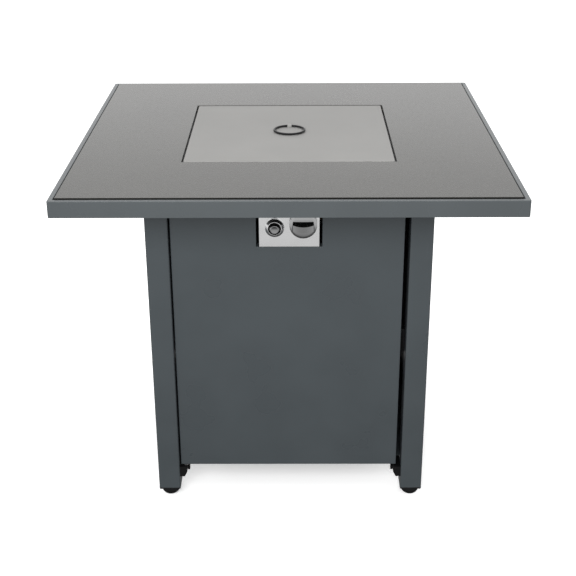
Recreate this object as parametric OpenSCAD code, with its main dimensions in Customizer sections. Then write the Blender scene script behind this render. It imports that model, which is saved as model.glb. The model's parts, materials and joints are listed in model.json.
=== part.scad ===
// Square gas fire pit table. A tiled top with a lift-off burner lid stands on four tube legs.
// Recessed panels close the base, and a door with a notch for the control plate opens the tank bay.
// The front faces -Y, and the origin lies on the floor under the middle of the top.

/* [Table top] */
// Width and depth of the square top
top_width = 762; // [720:1:900]
// Height of the rim's upper edge above the floor
table_height = 644; // [630:1:720]
// Height of the rim's outer face
rim_height = 28; // [24:1:45]
// Width of the rim's upper edge
rim_lip = 8.5; // [7:0.5:20]
// Thickness of the rim's folded sheet
rim_sheet = 2; // [1.5:0.25:3]
// Radius of the rim's outer corners
rim_corner = 4; // [3.5:0.5:8]
// Reach of the ledge that carries the tile
ledge_reach = 28; // [20:1:45]
// Open joint between the rim and the tile
tile_joint = 2.5; // [1:0.5:6]
// Thickness of the tile
tile_thickness = 9; // [6:0.5:10]
// Height of the tile's face above the rim
tile_proud = 2; // [0:0.5:4]
// Width of the long bars under the tile
bar_width = 60; // [50:1:70]
// Width of the short bars under the tile
short_bar_width = 30; // [24:1:40]
// Height of the bars under the tile
bar_height = 21; // [18:1:30]
// Wall of the bars under the tile
bar_wall = 1.5; // [1:0.25:3]
// Distance of the bars from the edge of the tile's opening
bar_margin = 19; // [17:0.5:24]
// Width of the cushion strips between bars and tile
pad_width = 20; // [10:1:24]

/* [Burner lid] */
// Width of the square opening in the tile
opening_width = 372; // [360:1:386]
// Gap between the lid and the tile
lid_gap = 3; // [1.5:0.5:5]
// Depth of the lid's folded edge
lid_depth = 12; // [11:0.5:15]
// Thickness of the lid's sheet
lid_sheet = 1.5; // [1:0.25:2.5]
// Radius of the lid's corners
lid_corner = 4; // [3:0.5:8]
// Outer diameter of the pull ring
ring_diameter = 60; // [45:1:80]
// Diameter of the pull ring's wire
ring_wire = 4; // [3:0.5:7]
// Clearance round the wire in its eye and above the lid
ring_clearance = 0.6; // [0.5:0.1:1]
// Width of the eye that holds the ring
eye_width = 8; // [6:0.5:10]
// Wall of the eye that holds the ring
eye_wall = 2; // [1.5:0.5:3]

/* [Fire bowl and burner] */
// Gap between the bowl's walls and the support frame
bowl_gap = 4.5; // [1.5:0.5:12]
// Slope of the bowl's walls, from the mouth in to the floor
bowl_slope = 20; // [12:1:26]
// Depth of the bowl
bowl_depth = 77; // [68:1:86]
// Thickness of the bowl's sheet
bowl_sheet = 1.5; // [1:0.25:2.5]
// Corner radius of the bowl in plan
bowl_corner = 20; // [12:1:30]
// Reach of the bowl's flange under the tile
bowl_flange = 14; // [10:0.5:16]
// Distance of the seal's edge behind the tile's opening
seal_setback = 2; // [1:0.5:5]
// Reach of the support frame inside the tile's opening
frame_reach = 10; // [6:0.5:11]
// Sheet of the support frame
frame_sheet = 3; // [2:0.5:4]
// Diameter of the burner ring at the middle of its tube
burner_diameter = 210; // [180:1:220]
// Diameter of the burner's tube
burner_tube = 16; // [13:0.5:20]
// Diameter of the burner's cross tube
cross_tube = 12; // [8:0.5:12.5]
// Height of the burner's tube above the bowl's floor
burner_rise = 20; // [16:0.5:28]
// Diameter of the flame ports
port_diameter = 2.5; // [1.5:0.1:4]
// Depth of the flame ports
port_depth = 3; // [1:0.5:4]
// Number of flame ports
port_count = 24; // [12:2:36]
// Diameter of the burner's hub
hub_diameter = 32; // [26:1:44]
// Diameter of the burner's threaded inlet
stub_diameter = 20; // [16:0.5:24]
// Width of the locknut across its corners
locknut_width = 34; // [30:1:42]
// Height of the locknut
locknut_height = 8; // [6:0.5:9]
// Diameter of the bowl's drain holes
drain_diameter = 8; // [5:0.5:12]
// Distance of the drain holes from the bowl's centre lines
drain_offset = 120; // [116:1:125]

/* [Gas train] */
// Outer diameter of the elbow
elbow_diameter = 28; // [26:0.5:32]
// Length of the elbow's outlet from the burner's axis
elbow_reach = 30; // [26:1:40]
// Depth of the elbow's sockets
socket_depth = 12; // [8:0.5:13]
// Wall left at the closed ends of the elbow
elbow_end = 2.5; // [2:0.5:5]
// Wall of the elbow's outlet round the air mixer
outlet_wall = 2.5; // [2:0.5:4]
// Diameter of the elbow's outlet passage
outlet_passage = 11; // [10.5:0.5:13]
// Diameter of the air mixer's tube
mixer_diameter = 18; // [15:0.5:20]
// Length of the air mixer's tube
mixer_length = 60; // [45:1:70]
// Wall of the air mixer's tube
mixer_wall = 1.75; // [1:0.25:2.5]
// Width of the air mixer's windows
window_width = 7; // [5:0.5:9]
// Length of the air mixer's windows
window_length = 16; // [10:1:22]
// Width of the injector across its corners
injector_width = 20; // [18:0.5:24]
// Length of the injector
injector_length = 14; // [10:0.5:20]
// Diameter of the gas passages
passage_diameter = 9; // [6:0.5:10]
// Diameter of the feed tube
feed_diameter = 10; // [8:0.5:12]
// Width of the valve's casting
valve_width = 30; // [27:0.5:36]
// Height of the valve's casting
valve_height = 34; // [31:0.5:40]
// Length of the valve's casting
valve_length = 46; // [42:0.5:52]
// Chamfer of the casting's long edges
valve_chamfer = 5; // [2:0.5:7]
// Diameter of the valve's bonnet
bonnet_diameter = 24; // [20:0.5:27]
// Length of the valve's bonnet
bonnet_length = 8; // [6:0.5:12]
// Thickness of the valve's fixing ears
ear_thickness = 3; // [2:0.5:4]
// Width of the valve's fixing ears
ear_width = 12; // [10:0.5:16]
// Distance of the valve's screws from its axis
ear_offset = 16; // [15:0.5:16.5]
// Diameter of the valve's outlet boss
outlet_diameter = 14; // [12:0.5:16]
// Length of the valve's outlet boss
outlet_length = 10; // [6:0.5:14]
// Drop of the outlet below the valve's axis
outlet_drop = 8; // [6:0.5:9]
// Diameter of the gas inlet's thread
inlet_diameter = 15.875; // [12:0.125:19]
// Length of the gas inlet's thread
inlet_length = 16; // [12:0.5:22]
// Distance of the gas inlet from the casting's rear end
inlet_setback = 17; // [14:0.5:20]
// Diameter of the inlet's shoulder
shoulder_diameter = 21; // [20:0.5:24]
// Length of the inlet's shoulder
shoulder_length = 6; // [4:0.5:8]
// Distance of the thermocouple's port left of the valve's axis
couple_port_side = 11; // [9.5:0.5:12]
// Drop of the thermocouple's port below the valve's axis
couple_port_drop = 8; // [6:0.5:10]

/* [Controls] */
// Width of the control plate
control_width = 104; // [96:1:120]
// Height of the control plate
control_height = 72; // [60:1:80]
// Thickness of the control plate's sheet
control_sheet = 1.5; // [1:0.25:2.5]
// Depth of the control plate's folded edges
control_depth = 20; // [14:1:24]
// Distance of the control plate in front of the door's face
control_proud = 3; // [0:0.5:4]
// Gap between the control plate and the top rail
control_top_gap = 1; // [0.5:0.5:4]
// Width of the plate's hanger
hanger_width = 90; // [70:1:94]
// Thickness of the plate's hanger
hanger_sheet = 2; // [1.5:0.5:3]
// Height of the plate's hanger
hanger_height = 24; // [20:1:26]
// Distance of the hanger's screws from the middle
hanger_screw_spread = 30; // [24:1:34]
// Height of the hanger's upper screws above its lower leaf
hanger_screw_rise = 16; // [12:0.5:16]
// Distance of the knob's axis right of the middle
knob_offset = 24; // [23:0.5:28]
// Distance of the knob's axis below the plate's top
knob_drop = 28; // [27:0.5:32]
// Diameter of the knob's skirt
knob_diameter = 47; // [42:0.5:48]
// Thickness of the knob's skirt
knob_skirt = 9; // [8:0.5:12]
// Wall of the knob's skirt
knob_wall = 2; // [1.5:0.25:2.5]
// Depth of the recess in the knob's back
knob_recess = 5; // [4:0.5:6]
// Diameter of the knob's hub
knob_hub = 15; // [13:0.5:18]
// Length of the knob's grip
grip_length = 38; // [32:0.5:40]
// Width of the grip at its foot
grip_foot = 15; // [12:0.5:18]
// Width of the grip at its crest
grip_crest = 10; // [7:0.5:11]
// Height of the knob's grip
grip_height = 20; // [16:0.5:24]
// Radius of the grip's arched crest
grip_arch = 24; // [22:0.5:40]
// Gap between the knob and the control plate
knob_gap = 6; // [5.5:0.5:8]
// Distance that the knob is pushed in before it turns
knob_travel = 5; // [3:0.5:5]
// Diameter of the valve's spindle
spindle_diameter = 8; // [6:0.5:9]
// Length of the spindle inside the valve
spindle_depth = 24; // [20:0.5:27]
// Diameter of the safety push rod
rod_diameter = 4; // [3:0.25:5]
// Length of the safety push rod
rod_length = 20; // [14:0.5:21]
// Distance of the igniter's axis left of the middle
igniter_offset = 25; // [23:0.5:28]
// Diameter of the igniter's body
igniter_diameter = 22; // [21:0.5:26]
// Length of the igniter's body behind the plate
igniter_length = 52; // [40:1:54]
// Diameter of the igniter's terminal
terminal_diameter = 4; // [3.5:0.25:6]
// Length of the igniter's terminal
terminal_length = 6; // [4:0.5:8]
// Diameter of the igniter's bezel
bezel_diameter = 33; // [30:0.5:36]
// Height of the igniter's bezel
bezel_height = 8; // [5:0.5:9]
// Height of the bezel's straight side
bezel_band = 3.5; // [2:0.5:4]
// Width of the bezel's front edge
bezel_land = 1; // [0.5:0.25:1.5]
// Width of the igniter's nut across its corners
igniter_nut_width = 34; // [31:0.5:38]
// Height of the igniter's nut
igniter_nut_height = 6; // [4:0.5:8]
// Diameter of the igniter's button
button_diameter = 17; // [14:0.5:18]
// Length of the button inside the igniter
button_depth = 16; // [12:0.5:20]
// Height of the button in front of the bezel
button_reach = 5; // [4.5:0.5:8]
// Chamfer of the button's face
button_chamfer = 1.5; // [0.5:0.25:2]
// Distance that the button is pressed
button_travel = 4; // [2:0.5:4]

/* [Ignition] */
// Distance of the ignition parts left of the middle
pilot_x = 60; // [54:1:66]
// Distance of the ignition parts in front of the middle
pilot_y = 120; // [118:1:124]
// Distance between the electrode and the thermocouple
pilot_spacing = 20; // [18:0.5:26]
// Thickness of the ignition bracket
pilot_sheet = 2; // [1:0.5:3]
// Diameter of the electrode's ceramic
ceramic_diameter = 7; // [6:0.25:8]
// Height of the ceramic above the bracket
ceramic_height = 26; // [20:0.5:30]
// Diameter of the electrode's wire
electrode_wire = 2; // [1.5:0.25:3]
// Length of the electrode's bare wire
electrode_tip = 10; // [6:0.5:14]
// Diameter of the thermocouple's sheath
sheath_diameter = 6; // [5:0.25:7]
// Diameter of the thermocouple's tip
sheath_tip = 4; // [3:0.25:4.5]
// Height of the thermocouple's sheath above the bracket
sheath_height = 17; // [12:0.5:22]
// Height of the thermocouple's tip above its sheath
sheath_tip_height = 14; // [8:0.5:18]
// Reach of the ignition parts below the bowl
pilot_drop = 9; // [6:0.5:12]
// Diameter of the collars on the ignition bracket
pilot_collar = 11; // [10:0.5:13]
// Height of the collars on the ignition bracket
pilot_collar_height = 3; // [2:0.5:5]
// Diameter of the two leads
lead_diameter = 3; // [2:0.25:3.5]

/* [Base] */
// Width and depth of the base over the legs
base_width = 496; // [490:1:540]
// Width of the square legs
leg_width = 40; // [36:0.5:42]
// Wall of the legs
leg_wall = 1.5; // [1:0.25:3]
// Thickness of the plate that closes a leg's top
leg_cap = 4; // [3:0.5:6]
// Radius of the legs' corners
leg_corner = 3; // [3:0.25:5]
// Distance of the panels behind the legs' outer faces
panel_recess = 8; // [4:0.5:10]
// Depth of the panels' folded edges
panel_depth = 18; // [14:0.5:19]
// Thickness of the panels' sheet
panel_sheet = 1.2; // [0.8:0.1:2]
// Width of the panels' turned lips
panel_lip = 12; // [8:0.5:16]
// Height of the top rails
rail_height = 30; // [28:1:40]
// Reach of the top rails' upper leaf
rail_reach = 30; // [28:1:36]
// Thickness of the top rails
rail_sheet = 3; // [2:0.5:4]
// Width of the lower rails
runner_width = 14; // [12:0.5:18]
// Height of the lower rails
runner_height = 21; // [18:0.5:26]
// Height of the lower rails above the floor
runner_clearance = 45; // [43:1:58]
// Wall of the lower rails
runner_wall = 2; // [1.5:0.25:3]
// Width of the lower rails' chamfer
runner_chamfer = 5; // [2:0.5:6]
// Distance of the lower rails' ends behind the legs' faces
runner_inset = 2; // [0.5:0.5:6]

/* [Tank tray] */
// Height of the tray's floor above the ground
tray_height = 49; // [47:0.5:57]
// Sheet of the tray
tray_sheet = 1.5; // [1:0.25:3]
// Gap between the tray and the frame
tray_gap = 1; // [0.5:0.25:3]
// Distance of the tray's ends from the legs
tray_end_gap = 8; // [4:0.5:20]
// Reach of the tray's wings under the side panels
wing_lap = 6; // [2:0.5:12]
// Gap between the tray's wings and the side panels
wing_gap = 0.5; // [0.3:0.1:2]
// Inner diameter of the ring that holds the tank's foot
tank_ring = 210; // [190:1:240]
// Wall of the tank ring
tank_ring_wall = 2; // [1.5:0.5:4]
// Height of the tank ring
tank_ring_height = 14; // [8:0.5:16]
// Diameter of the hole under the tank
tank_hole = 120; // [60:1:160]

/* [Door] */
// Gap between the door and the leg on the hinge side
hinge_gap = 2.5; // [2.5:0.5:6]
// Gap between the door and the leg on the pull side
pull_gap = 9; // [6:0.5:12]
// Distance of the pivot from the door's edge
pivot_edge = 9; // [8:0.5:9.5]
// Distance of the pivot behind the door's face
pivot_depth = 6; // [5.5:0.25:6.5]
// Diameter of the pivot pins
pin_diameter = 5; // [4:0.25:5.5]
// Length of the pins inside the door
pin_engagement = 14; // [10:0.5:20]
// Diameter of the collars on pins and bushes
collar_diameter = 11; // [10:0.25:11]
// Thickness of the collars on pins and bushes
collar_height = 1; // [0.8:0.1:2]
// Wall of the pivot bushes
bush_wall = 1.5; // [1:0.1:1.6]
// Length of the pivot bushes inside the door
bush_length = 10; // [6:0.5:14]
// Lift left above the door's upper bush
door_lift = 0.8; // [0.5:0.1:2]
// Thickness of the upper pivot plate
pivot_plate = 3; // [2:0.5:5]
// Reach of the upper pivot plate round the pin
pivot_margin = 8; // [6:0.5:9]
// Gap beside the control plate in the door's notch
notch_side_gap = 5; // [4:0.5:8]
// Gap under the control plate in the door's notch
notch_foot_gap = 1; // [0.8:0.1:4]
// Width of the magnetic catch
catch_width = 14; // [12:0.5:18]
// Depth of the magnetic catch
catch_depth = 14; // [10:0.5:18]
// Height of the magnetic catch
catch_height = 44; // [30:1:60]
// Height of the catch above the floor
catch_level = 319; // [210:1:440]
// Clearance between the catch and the door
catch_clearance = 0.3; // [0.2:0.1:1]

/* [Feet] */
// Diameter of the feet
foot_diameter = 34; // [28:0.5:38]
// Height of the feet
foot_height = 17.7; // [14:0.1:24]
// Radius of the feet's lower edge
foot_round = 12; // [6:0.5:14]
// Gap between a foot and its plug
foot_gap = 0.3; // [0.2:0.1:1]
// Diameter of the feet's threaded stems
stem_diameter = 8; // [6:0.5:10]
// Thread that stays in a plug when its foot is screwed out
stem_hold = 22; // [16:0.5:26]
// Distance that a foot can be screwed out
foot_travel = 12; // [6:0.5:14]
// Thickness of the leg plugs' flange
plug_flange = 3; // [2:0.5:5]
// Depth of the leg plugs inside the tube
plug_depth = 22; // [16:0.5:24]

/* [Fasteners] */
// Diameter of the small screws
screw_diameter = 4; // [3:0.25:4.5]
// Diameter of the small screws' heads
screw_head = 7.5; // [6:0.25:8]
// Height of the small screws' heads
screw_head_height = 2.5; // [1.5:0.25:3]
// Diameter of the frame bolts
bolt_diameter = 6; // [5:0.25:7]
// Diameter of the frame bolts' heads
bolt_head = 11; // [10:0.25:12]
// Height of the frame bolts' heads
bolt_head_height = 4; // [3:0.25:5]
// Clearance round a bolt's head in its access hole
access_clearance = 1.5; // [0.5:0.25:3]
// Height of the lower panel screws above the panel's foot
screw_low = 90; // [40:1:160]
// Distance of the upper panel screws below the panel's head
screw_high = 90; // [40:1:160]
// Length of thread behind a screwed wall
thread_past = 3; // [2:0.5:6]
// Radial clearance round screws and bolts
screw_clearance = 0.15; // [0.1:0.05:0.3]
// Radial clearance of turning and sliding fits
run_fit = 0.05; // [0.02:0.01:0.08]
// Clearance of pushed-in plugs
plug_fit = 0.2; // [0.1:0.05:0.4]

/* [Hidden] */
// Overrun of cuts past a face
over = 1;
// Thickness of the end slices of a loft
slice = 0.01;
// Facets of a round edge inside a loft
loft_facets = 32;
// Sides of a swept tube
tube_sides = 10;
// Steps along a swept tube
tube_steps = 14;
$fn = 64;

paint = "#5a5f62";
tile_grey = "#9a9a98";
lid_grey = "#aaa9a6";
black = "#1c1c1d";
chrome = "#c9cacc";
brass = "#b08d4c";
dark_steel = "#4a4a4a";
stainless = "#b5b6b8";

// Levels of the table top, from the rim down
rim_bottom = table_height - rim_height;
tile_top = table_height + tile_proud;
tile_bottom = tile_top - tile_thickness;
ledge_bottom = tile_bottom - rim_sheet;
base_top = ledge_bottom - bar_height;
lid_bottom = tile_top - lid_depth;
flange_bottom = lid_bottom - bowl_sheet;
frame_bottom = flange_bottom - frame_sheet;
bowl_mouth = opening_width - 2 * (frame_reach + bowl_gap + bowl_sheet);
bowl_floor = bowl_mouth - 2 * bowl_slope;
floor_top = lid_bottom - bowl_depth;
floor_bottom = floor_top - bowl_sheet;

// Plan of the table top, measured from the middle
ledge_inner = top_width / 2 - rim_lip - ledge_reach;
bar_inner = opening_width / 2 + bar_margin;
bar_outer = bar_inner + bar_width;
bar_middle = (bar_outer + bar_inner) / 2;
lid_width = opening_width - 2 * lid_gap;

// Pull ring
ring_radius = (ring_diameter - ring_wire) / 2;
ring_level = tile_top + ring_clearance + ring_wire / 2;
eye_inner = ring_wire / 2 + ring_clearance;
eye_outer = eye_inner + eye_wall;

// Base
leg_axis = (base_width - leg_width) / 2;
leg_inner = base_width / 2 - leg_width;
leg_bottom = foot_height + foot_gap + plug_flange;
plug_bottom = foot_height + foot_gap;
stem_length = stem_hold + foot_travel;
face = base_width / 2 - panel_recess;
panel_back = face - panel_depth;
rail_bottom = base_top - rail_height;
bolt_line = (max(bar_inner, leg_inner) + min(bar_outer, base_width / 2)) / 2;
runner_top = runner_clearance + runner_height;
runner_middle = runner_clearance + runner_height / 2;
runner_inner = leg_inner - runner_width;
runner_end = base_width / 2 - runner_inset;
wing_top = runner_top + tray_sheet;
panel_bottom = wing_top + wing_gap;
panel_top = rail_bottom;
panel_middle = face - panel_depth / 2;
screw_levels = [panel_bottom + screw_low, panel_top - screw_high];

// Controls
control_front = face + control_proud;
control_back = control_front - control_sheet;
control_top = rail_bottom - control_top_gap;
control_bottom = control_top - control_height;
control_middle = (control_top + control_bottom) / 2;
knob_level = control_top - knob_drop;
valve_front = control_back - bonnet_length;
valve_rear = valve_front - valve_length;
spindle_rear = control_back - spindle_depth;
outlet_level = knob_level - outlet_drop;
inlet_y = valve_rear + inlet_setback;
knob_face = knob_gap + knob_skirt;
hanger_front = rail_sheet - face;
hanger_back = control_depth - control_front;
hanger_line = (hanger_front + hanger_sheet + hanger_back) / 2;
hanger_screw_level = control_top + hanger_screw_rise;

// Gas train below the bowl
elbow_top = floor_bottom - locknut_height;
stub_bottom = elbow_top - socket_depth;
elbow_axis = stub_bottom - elbow_end - passage_diameter / 2;
outlet_radius = mixer_diameter / 2 + outlet_wall;
elbow_bottom = elbow_axis - outlet_radius - elbow_end;
mixer_start = elbow_reach - socket_depth;
mixer_end = mixer_start + mixer_length;
injector_end = mixer_end + injector_length;

// Ignition parts
bracket_top = floor_top + pilot_sheet;
pilot_foot = floor_bottom - pilot_drop;
electrode_x = -pilot_x - pilot_spacing / 2;
thermocouple_x = -pilot_x + pilot_spacing / 2;
couple_port_x = knob_offset - couple_port_side;
couple_port_z = knob_level - couple_port_drop;

// Door
door_left = -leg_inner + hinge_gap;
door_right = leg_inner - pull_gap;
door_bottom = runner_top + 2 * collar_height;
door_top = rail_bottom - pivot_plate - door_lift - collar_height;
notch_half = control_width / 2 + notch_side_gap;
notch_bottom = control_bottom - notch_foot_gap;
pivot_x = door_left + pivot_edge;
pivot_y = -face + pivot_depth;
bush_radius = pin_diameter / 2 + bush_wall;

// Square with true round corners, centred
module round_square(width, radius) {
    square([width, width - 2 * radius], center = true);
    square([width - 2 * radius, width], center = true);
    for (sx = [-1, 1], sy = [-1, 1])
        translate([sx * (width / 2 - radius), sy * (width / 2 - radius)])
            circle(radius);
}

// Square slab with round corners between two levels
module slab(width, radius, low, high) {
    translate([0, 0, low])
        linear_extrude(high - low)
            round_square(width, radius);
}

// Square frame with sharp corners between two levels
module square_ring(outer, inner, low, high) {
    translate([0, 0, low])
        linear_extrude(high - low)
            difference() {
                square(outer, center = true);
                square(inner, center = true);
            }
}

// Block between two corners
module block(low, high) {
    translate(low)
        cube(high - low);
}

// Round bar along +Z
module rod(radius, low, high) {
    translate([0, 0, low])
        cylinder(r = radius, h = high - low);
}

// Turns what is drawn along +Z to point out of the front, from the plane at this depth
module from_plane(x, depth, z) {
    translate([x, -depth, z])
        rotate([90, 0, 0])
            children();
}

// Screw along +Z, with its head below the plane z = 0
module screw(diameter, head, head_height, length) {
    rod(head / 2, -head_height, 0);
    rod(diameter / 2, -head_height / 2, length);
}

// Points of a curve between two ends that leaves and arrives along given vectors
function curve_point(a, b, c, d, t) =
    a * pow(1 - t, 3) + 3 * b * t * pow(1 - t, 2) + 3 * c * t * t * (1 - t) + d * pow(t, 3);
function curve(from, leave, arrive, to) =
    [for (i = [0:tube_steps]) curve_point(from, from + leave, to - arrive, to, i / tube_steps)];

// Directions along a run of points, and a ring of points square to each
function unit(v) = v / norm(v);
function heading(p, i, first, last) =
    i == 0 ? unit(first) : i == len(p) - 1 ? unit(last) : unit(p[i + 1] - p[i - 1]);
function ring_point(middle, along, radius, angle) =
    let (side = unit(cross(along, [1, 0, 0])), up = cross(side, along))
    middle + radius * (cos(angle) * side + sin(angle) * up);

// Tube along a curve, with its ends square to the first and last directions
module swept_tube(from, leave, arrive, to, radius) {
    path = curve(from, leave, arrive, to);
    last = len(path) - 1;
    points = [
        for (i = [0:last], k = [0:tube_sides - 1])
            ring_point(path[i], heading(path, i, leave, arrive), radius, 360 * k / tube_sides)
    ];
    sides = [
        for (i = [0:last - 1], k = [0:tube_sides - 1])
            let (a = i * tube_sides + k, b = i * tube_sides + (k + 1) % tube_sides)
            each [[a, b, a + tube_sides], [b, b + tube_sides, a + tube_sides]]
    ];
    near_end = [for (k = [tube_sides - 1:-1:0]) k];
    far_end = [for (k = [0:tube_sides - 1]) last * tube_sides + k];
    polyhedron(points, concat(sides, [near_end], [far_end]));
}

// Folded rim with the ledge for the tile
module tabletop_rim() color(paint) {
    inner = top_width - 2 * rim_lip;
    difference() {
        slab(top_width, rim_corner, rim_bottom, table_height);
        slab(
            top_width - 2 * rim_sheet, rim_corner - rim_sheet,
            rim_bottom - over, table_height - rim_sheet
        );
        block([-inner / 2, -inner / 2, rim_bottom], [inner / 2, inner / 2, table_height + over]);
    }
    square_ring(inner + 2 * rim_sheet, inner, ledge_bottom, table_height - rim_sheet / 2);
    square_ring(inner + rim_sheet, 2 * ledge_inner, ledge_bottom, tile_bottom);
}

// Stone-look tile with the burner opening
module top_tile() color(tile_grey)
    square_ring(top_width - 2 * (rim_lip + tile_joint), opening_width, tile_bottom, tile_top);

// Flat tube along X between two ends
module bar_tube(start, end, width) {
    difference() {
        block([start, -width / 2, base_top], [end, width / 2, ledge_bottom]);
        block(
            [start - over, bar_wall - width / 2, base_top + bar_wall],
            [end + over, width / 2 - bar_wall, ledge_bottom - bar_wall]
        );
    }
}

// Two long bars over the legs and two short ones beside the opening
module underframe_bars() color(paint) {
    reach = top_width / 2 - rim_sheet;
    for (sy = [-1, 1])
        difference() {
            translate([0, sy * bar_middle, 0])
                bar_tube(-reach, reach, bar_width);
            for (sx = [-1, 1])
                translate([sx * leg_axis, sy * bolt_line, 0]) {
                    rod(bolt_diameter / 2 + screw_clearance, base_top - over, base_top + bar_wall + over);
                    rod(
                        bolt_head / 2 + access_clearance,
                        ledge_bottom - bar_wall - over, ledge_bottom + over
                    );
                }
        }
    for (turn = [0, 180])
        rotate([0, 0, turn])
            bar_tube(bar_inner, reach, short_bar_width);
}

// Cushion strips that bed the tile on the bars
module tile_pads() color(black) {
    for (sy = [-1, 1])
        block(
            [-ledge_inner, sy * bar_middle - pad_width / 2, ledge_bottom],
            [ledge_inner, sy * bar_middle + pad_width / 2, tile_bottom]
        );
    for (turn = [0, 180])
        rotate([0, 0, turn])
            block([bar_inner, -pad_width / 2, ledge_bottom], [ledge_inner, pad_width / 2, tile_bottom]);
}

// Angle frame between the long bars, which carries the bowl's flange
module opening_frame() color(paint) {
    square_ring(2 * bar_inner, opening_width - 2 * frame_reach, frame_bottom, flange_bottom);
    square_ring(2 * bar_inner, 2 * (bar_inner - frame_sheet), base_top, flange_bottom);
}

// Heat seal between the bowl's flange and the tile
module bowl_seal() color("#d8d4c8")
    square_ring(
        opening_width + 2 * bowl_flange, opening_width + 2 * seal_setback, lid_bottom, tile_bottom
    );

// Solid between two square sections, for the bowl's sloping walls
module bowl_loft(floor_width, floor_level, mouth_width, mouth_level) {
    hull() {
        slab(floor_width, bowl_corner, floor_level, floor_level + slice, $fn = loft_facets);
        slab(mouth_width, bowl_corner, mouth_level - slice, mouth_level, $fn = loft_facets);
    }
}

// Sheet bowl with a flange, a seat for the burner, ignition holes and drains
module fire_bowl() color(stainless) {
    difference() {
        union() {
            bowl_loft(bowl_floor + 2 * bowl_sheet, floor_bottom, bowl_mouth + 2 * bowl_sheet, lid_bottom);
            translate([0, 0, flange_bottom])
                linear_extrude(bowl_sheet)
                    square(opening_width + 2 * bowl_flange, center = true);
        }
        bowl_loft(bowl_floor, floor_top, bowl_mouth, lid_bottom + slice);
        rod(stub_diameter / 2 + plug_fit, floor_bottom - over, floor_top + over);
        translate([electrode_x, -pilot_y, 0])
            rod(ceramic_diameter / 2 + plug_fit, floor_bottom - over, floor_top + over);
        translate([thermocouple_x, -pilot_y, 0])
            rod(sheath_diameter / 2 + plug_fit, floor_bottom - over, floor_top + over);
        for (sx = [-1, 1], sy = [-1, 1])
            translate([sx * drain_offset, sy * drain_offset, 0])
                rod(drain_diameter / 2, floor_bottom - over, floor_top + over);
    }
}

// Ring burner with its cross tube, hub and threaded inlet
module burner_ring() color(stainless) {
    level = floor_top + burner_rise;
    difference() {
        union() {
            translate([0, 0, level])
                rotate_extrude()
                    translate([burner_diameter / 2, 0])
                        circle(burner_tube / 2);
            translate([-burner_diameter / 2, 0, level])
                rotate([0, 90, 0])
                    cylinder(d = cross_tube, h = burner_diameter);
            rod(hub_diameter / 2, floor_top, level + burner_tube / 2);
            rod(stub_diameter / 2, stub_bottom, floor_top + over);
        }
        for (i = [0:port_count - 1])
            rotate([0, 0, 360 * (i + 0.5) / port_count])
                translate([burner_diameter / 2, 0, level])
                    rod(port_diameter / 2, burner_tube / 2 - port_depth, burner_tube / 2 + over);
        rod(passage_diameter / 2, stub_bottom - over, floor_top);
    }
}

// Hexagon nut that clamps the burner to the bowl
module burner_locknut() color(brass)
    difference() {
        translate([0, 0, floor_bottom - locknut_height])
            cylinder(d = locknut_width, h = locknut_height, $fn = 6);
        rod(stub_diameter / 2 + run_fit, floor_bottom - locknut_height - over, floor_bottom + over);
    }

// Brass elbow from the burner's inlet to the air mixer
module gas_elbow() color(brass)
    difference() {
        union() {
            rod(elbow_diameter / 2, elbow_bottom, elbow_top);
            from_plane(0, 0, elbow_axis)
                rod(outlet_radius, 0, elbow_reach);
        }
        rod(stub_diameter / 2 + run_fit, stub_bottom, elbow_top + over);
        rod(passage_diameter / 2, elbow_axis, stub_bottom + over);
        from_plane(0, 0, elbow_axis) {
            rod(outlet_passage / 2, -outlet_passage / 2, elbow_reach);
            rod(mixer_diameter / 2 + run_fit, mixer_start, elbow_reach + over);
        }
    }

// Mixing tube with air windows and the injector at its end
module air_mixer() color(brass)
    from_plane(0, 0, elbow_axis)
        difference() {
            union() {
                rod(mixer_diameter / 2, mixer_start, mixer_end);
                translate([0, 0, mixer_end])
                    cylinder(d = injector_width, h = injector_length, $fn = 6);
            }
            rod(mixer_diameter / 2 - mixer_wall, mixer_start - over, mixer_end);
            translate([0, 0, mixer_end - window_length])
                block(
                    [-mixer_diameter, -window_width / 2, -window_length / 2],
                    [mixer_diameter, window_width / 2, window_length / 2]
                );
        }

// Bent tube from the valve to the injector
module gas_feed_tube() color(stainless) {
    start = [knob_offset, -valve_rear + outlet_length, outlet_level];
    end = [0, -injector_end, elbow_axis];
    ease = [0, (end[1] - start[1]) / 2, 0];
    swept_tube(start, ease, ease, end, feed_diameter / 2);
}

// Outline of the valve's casting
module casting_outline() {
    w = valve_width / 2;
    h = valve_height / 2;
    c = valve_chamfer;
    polygon([
        [w - c, h], [c - w, h], [-w, h - c], [-w, c - h],
        [c - w, -h], [w - c, -h], [w, c - h], [w, h - c]
    ]);
}

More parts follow.
